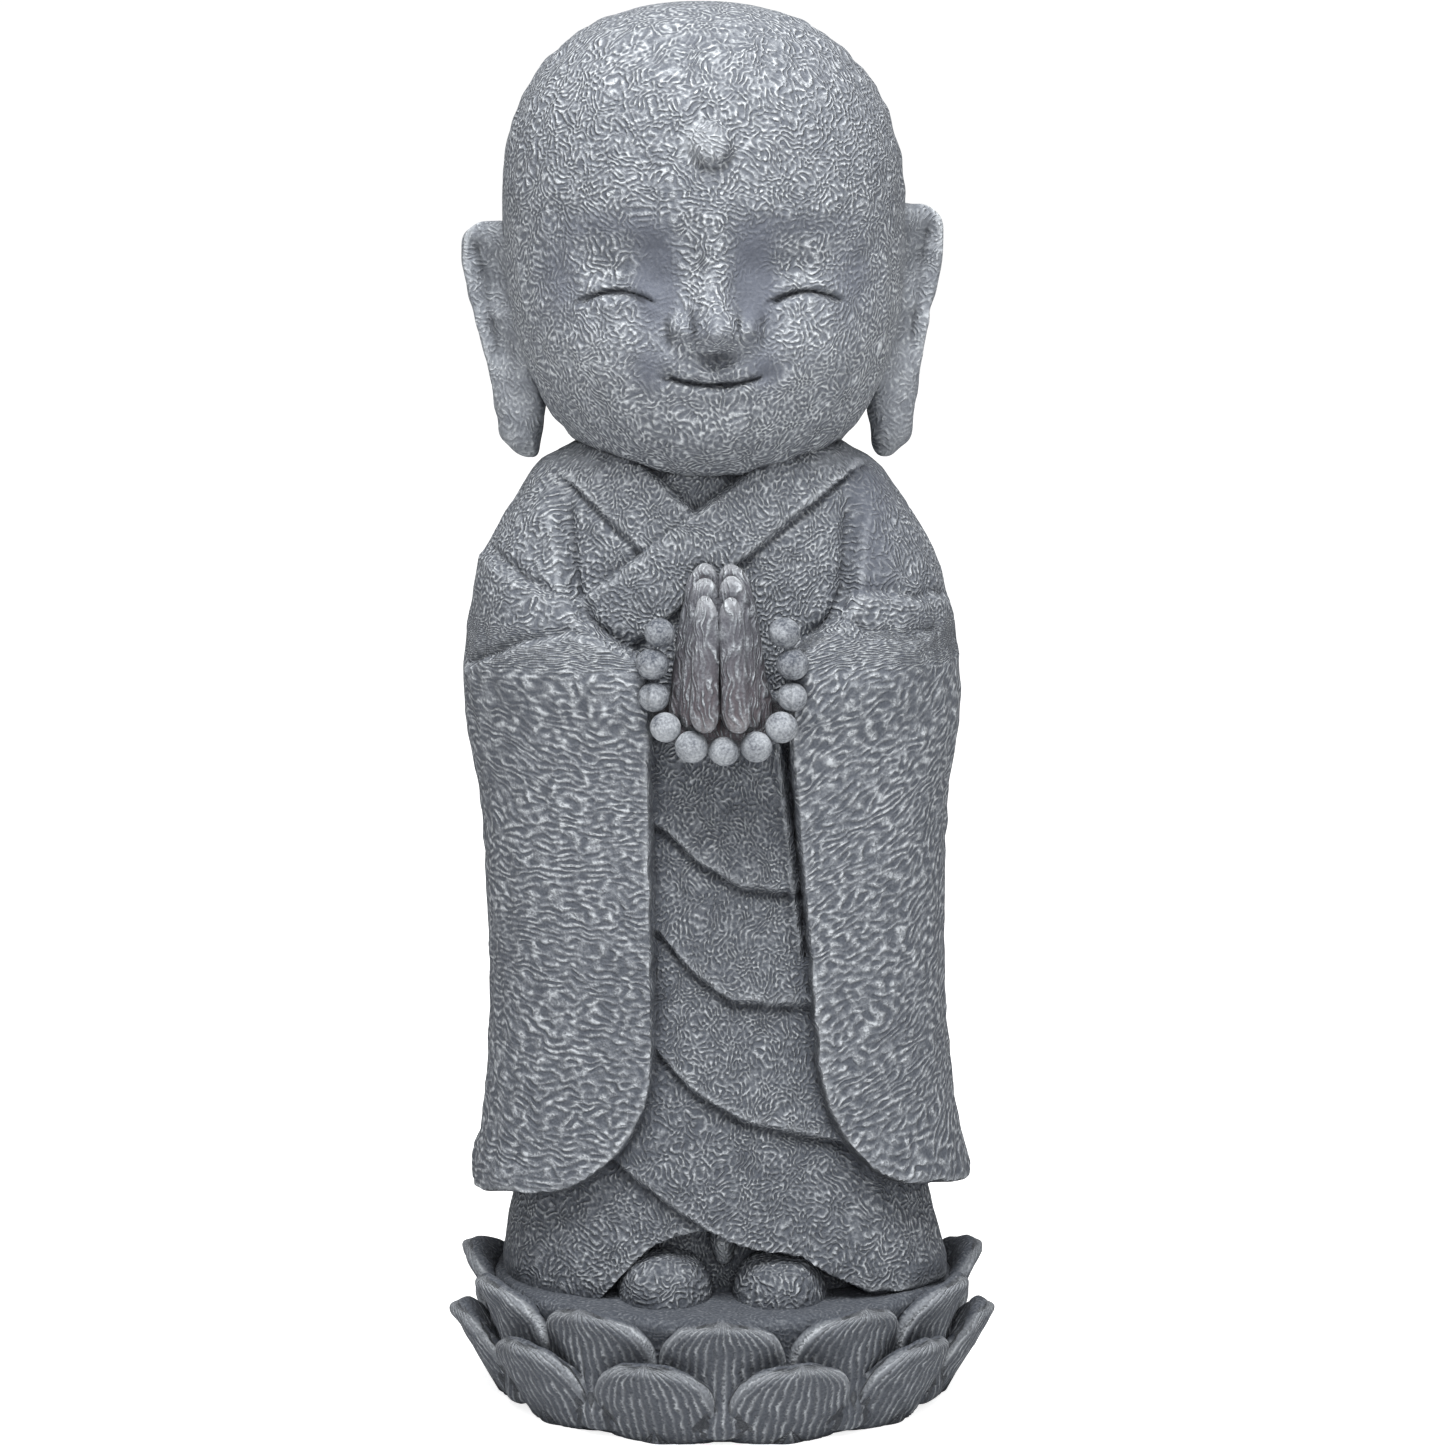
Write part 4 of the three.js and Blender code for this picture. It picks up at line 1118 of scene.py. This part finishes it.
def cast_stone():
    """Blue-grey cast stone: dark in its hollows, partly as patina and partly as painted shade, and pale from
    brushing along its short wavy ridges and its edges, paler upwards partly as painted light, with painted
    shade in its carved lines, its eye sockets and beside the sleeves.
    """
    shader = Shader("cast_stone")
    place = shader.node("ShaderNodeTexCoord", "Object")
    place = shader.vector("SCALE", place, 1 / MM)
    facing = shader.node("ShaderNodeAttribute", "Vector", {"attribute_name": "facing"})
    ear = shader.attribute("ear")
    flat = shader.laid_flat(place, facing, ear)
    wander = shader.vector("SUBTRACT", shader.noise(place, 0.11, 1.0, "Color"), (0.5, 0.5, 0.5))
    sway = shader.vector("SUBTRACT", shader.noise(place, 0.02, 0.0, "Color"), (0.5, 0.5, 0.5))
    sleeve = shader.attribute("sleeve")
    hand = shader.attribute("hand")
    bent = shader.vector("ADD", flat, shader.vector("SCALE", wander, 8.0 - sleeve * 2.0))
    bent = shader.vector("ADD", bent, shader.vector("SCALE", sway, 14.0))
    bent = shader.drawn_out(bent, sleeve)
    squash = shader.node("ShaderNodeCombineXYZ", "Vector", X=1.0 + hand * 0.4, Y=1.0 - hand * 0.82)
    worm = shader.worms(shader.vector("MULTIPLY", bent, squash), 0.245 - sleeve * 0.025, 2.0)
    petal = shader.attribute("petal")
    line = shader.attribute("petal_line")
    height = shader.parts(place)[2]
    grain = shader.noise(place, 1.1, 3.0)
    fleck = shader.noise(place, 0.6, 2.0).rise(0.36, 0.62)
    patch = shader.noise(place, 0.16, 2.0)
    broad = shader.noise(place, 0.028, 2.0)
    vein = (line * 46.0 + (patch - 0.5) * 7.0 + (grain - 0.5) * 3.0).math("SINE") * 0.5 + 0.5
    base = shader.attribute("base")
    bead = shader.attribute("bead")
    smooth = shader.attribute("smooth")
    boss = shader.attribute("boss")
    tone = shader.attribute("tone")
    relief = worm.rise(0.32, 0.75) * (0.5 + fleck * 0.66)
    veined = (vein ** 1.7) * (0.45 + fleck * 0.25 + (patch - 0.5) * 0.9)
    relief = shader.blend(base, relief, shader.blend(petal, relief * 0.35, veined))
    quiet = (1.0 - smooth * 0.85) * (1.0 - bead * 0.9) * (1.0 - ear * 0.5) * (1.0 - hand * 0.3)
    raised = relief * quiet
    edge = shader.attribute("ridge").rise(0.2, 0.85)
    hollow = shader.attribute("hollow").rise(0.1, 0.8)
    # Paleness from brushing on the ridges, scaled by the tone, which is partly painted light from above
    brushing_and_painted_light = (raised ** 1.3) * (0.68 + tone * 0.4 + (broad - 0.5) * 0.8 + (patch - 0.5) * 1.9)
    brushing_and_painted_light = brushing_and_painted_light * (0.3 + grain * 1.4)
    brushing_and_painted_light = brushing_and_painted_light + tone * 0.1 + (grain - 0.5) * 0.3
    brushing_and_painted_light = brushing_and_painted_light + edge * (0.2 + grain * 0.45) * (1.0 - bead) + boss * 0.22
    bead_tone = 0.2 + (1.0 - height.rise(248.0, 272.0)) * 0.22 + (patch - 0.5) * 1.1 + (grain - 0.5) * 0.9
    brushing_and_painted_light = brushing_and_painted_light + bead * bead_tone + ear * (0.12 + (patch - 0.5) * 0.3)
    petal_rim = shader.attribute("petal_edge") * (0.1 + grain * 0.5)
    brushing_and_painted_light = brushing_and_painted_light + petal * 0.04 + petal_rim
    brushing_and_painted_light = brushing_and_painted_light - hand * (0.02 + (1.0 - height.rise(250.0, 285.0)) * 0.1)
    # Painted shade: darker on the face's smooth patches and on the skirt beside the sleeves
    painted_shade_dimming = (1.0 - smooth * 0.3) * (1.0 - shader.attribute("shade") * 0.55)
    brushing_and_painted_light = brushing_and_painted_light.math("MULTIPLY", painted_shade_dimming, clamp=True)
    dark = shader.mix(tone, DARK_AT_FOOT, DARK_AT_HEAD)
    pale = shader.mix(tone, PALE_AT_FOOT, PALE_AT_HEAD)
    colour = shader.mix(brushing_and_painted_light, dark, pale)
    # Smooth patches made darker: painted shade in the eye sockets, by the mouth and in the left arm's crease
    colour = shader.mix(smooth * 0.36, colour, SMOOTH_PAINTED_SHADE_GREY)
    # Darker in the hollows: partly patina and partly painted shade
    colour = shader.mix(hollow * 0.8, colour, HOLLOW_PATINA_AND_SHADE_GREY)
    # Painted shade in the carved lines
    colour = shader.mix(shader.attribute("carved") * 0.9, colour, CARVED_LINE_SHADE_GREY)
    rusty = hand * (1.0 - relief) * (0.12 + (1.0 - height.rise(250.0, 290.0)) * 0.22)
    colour = shader.mix(rusty, colour, RUST)
    put(shader.tree, shader.surface.inputs["Base Color"], colour)
    put(shader.tree, shader.surface.inputs["Roughness"], 0.95 - brushing_and_painted_light * 0.14)
    swell = raised + grain * 0.3
    bump = shader.node("ShaderNodeBump", "Normal", Strength=1.0, Distance=1.1 * MM, Height=swell)
    put(shader.tree, shader.surface.inputs["Normal"], bump)
    shader.surface.inputs["Specular IOR Level"].default_value = 0.3
    return shader.material


def statue():
    """The whole casting: every form fused, thinned, made softly uneven, brought to metres and finished."""
    forms = [body(), head(), ear(-1), ear(1), *hands(), *beads(), *feet(), base_core(), *petals()]
    whole = fuse(forms, ground_block())
    whole = thin(whole, TRIANGLES)
    whole.name = "jizo_statue_stone"
    lay_attributes(whole)
    places = vertex_vectors(whole, "co")
    z = places[:, 2]
    lumps = unevenness(places) * (1 - attribute_values(whole, "bead"))
    lumps = lumps * rise(z, 0.5, 3) * (1 - rise(z, CROWN_HEIGHT - 6, CROWN_HEIGHT - 1))
    places = (places + vertex_vectors(whole, "normal") * lumps[:, None]) * MM
    whole.vertices.foreach_set("co", places.astype(np.float32).ravel())
    whole.update()
    whole.materials.clear()
    whole.materials.append(cast_stone())
    whole.shade_smooth()
    whole.set_sharp_from_angle(angle=math.radians(60))
    made = piece(whole)
    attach(made, "root")
    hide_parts("jizo_statue")


def pale_floor():
    """A plain pale floor, which the camera sees as bright as the backdrop."""
    shader = Shader("pale_floor")
    place = shader.node("ShaderNodeTexCoord", "Object")
    tint = shader.mix(shader.noise(place, 3.0), (0.8, 0.8, 0.8, 1), (0.84, 0.84, 0.84, 1))
    put(shader.tree, shader.surface.inputs["Base Color"], tint)
    shader.surface.inputs["Roughness"].default_value = 0.9
    seen = shader.node("ShaderNodeLightPath", "Is Camera Ray")
    glow = shader.mix(seen, (0, 0, 0, 1), (0.8, 0.8, 0.8, 1))
    put(shader.tree, shader.surface.inputs["Emission Color"], glow)
    shader.surface.inputs["Emission Strength"].default_value = 1.0
    return shader.material


def soft_light(name, energy, size, place, turn):
    """A square area light with its size and place in metres and its turn in degrees."""
    data = bpy.data.lights.new(name, "AREA")
    data.energy = energy
    data.size = size
    light = bpy.data.objects.new(name, data)
    light.location = place
    light.rotation_euler = [math.radians(angle) for angle in turn]
    bpy.context.collection.objects.link(light)


def studio():
    """The floor, the white backdrop and two soft lights."""
    floor_mesh = bpy.data.meshes.new("floor")
    floor_mesh.from_pydata([(-6, -6, 0), (6, -6, 0), (6, 6, 0), (-6, 6, 0)], [], [(0, 1, 2, 3)])
    floor_mesh.materials.append(pale_floor())
    floor = piece(floor_mesh)
    world = bpy.data.worlds.new("studio")
    bpy.context.scene.world = world
    world.use_nodes = True
    backdrop = world.node_tree.nodes["Background"]
    backdrop.inputs["Color"].default_value = (1, 1, 1, 1)
    seen = world.node_tree.nodes.new("ShaderNodeLightPath")
    camera_ray = Wire(world.node_tree, seen.outputs["Is Camera Ray"])
    strength = camera_ray * (BACKDROP_SEEN - BACKDROP_LIT) + BACKDROP_LIT
    put(world.node_tree, backdrop.inputs["Strength"], strength)
    soft_light("overhead", 38, 0.9, (-0.02, -0.7, 1.6), (26, 0, -1))
    soft_light("front_fill", 10, 1.2, (0.3, -1.9, 0.7), (78, 0, 9))


statue()
studio()
bpy.context.scene.view_settings.view_transform = "Standard"
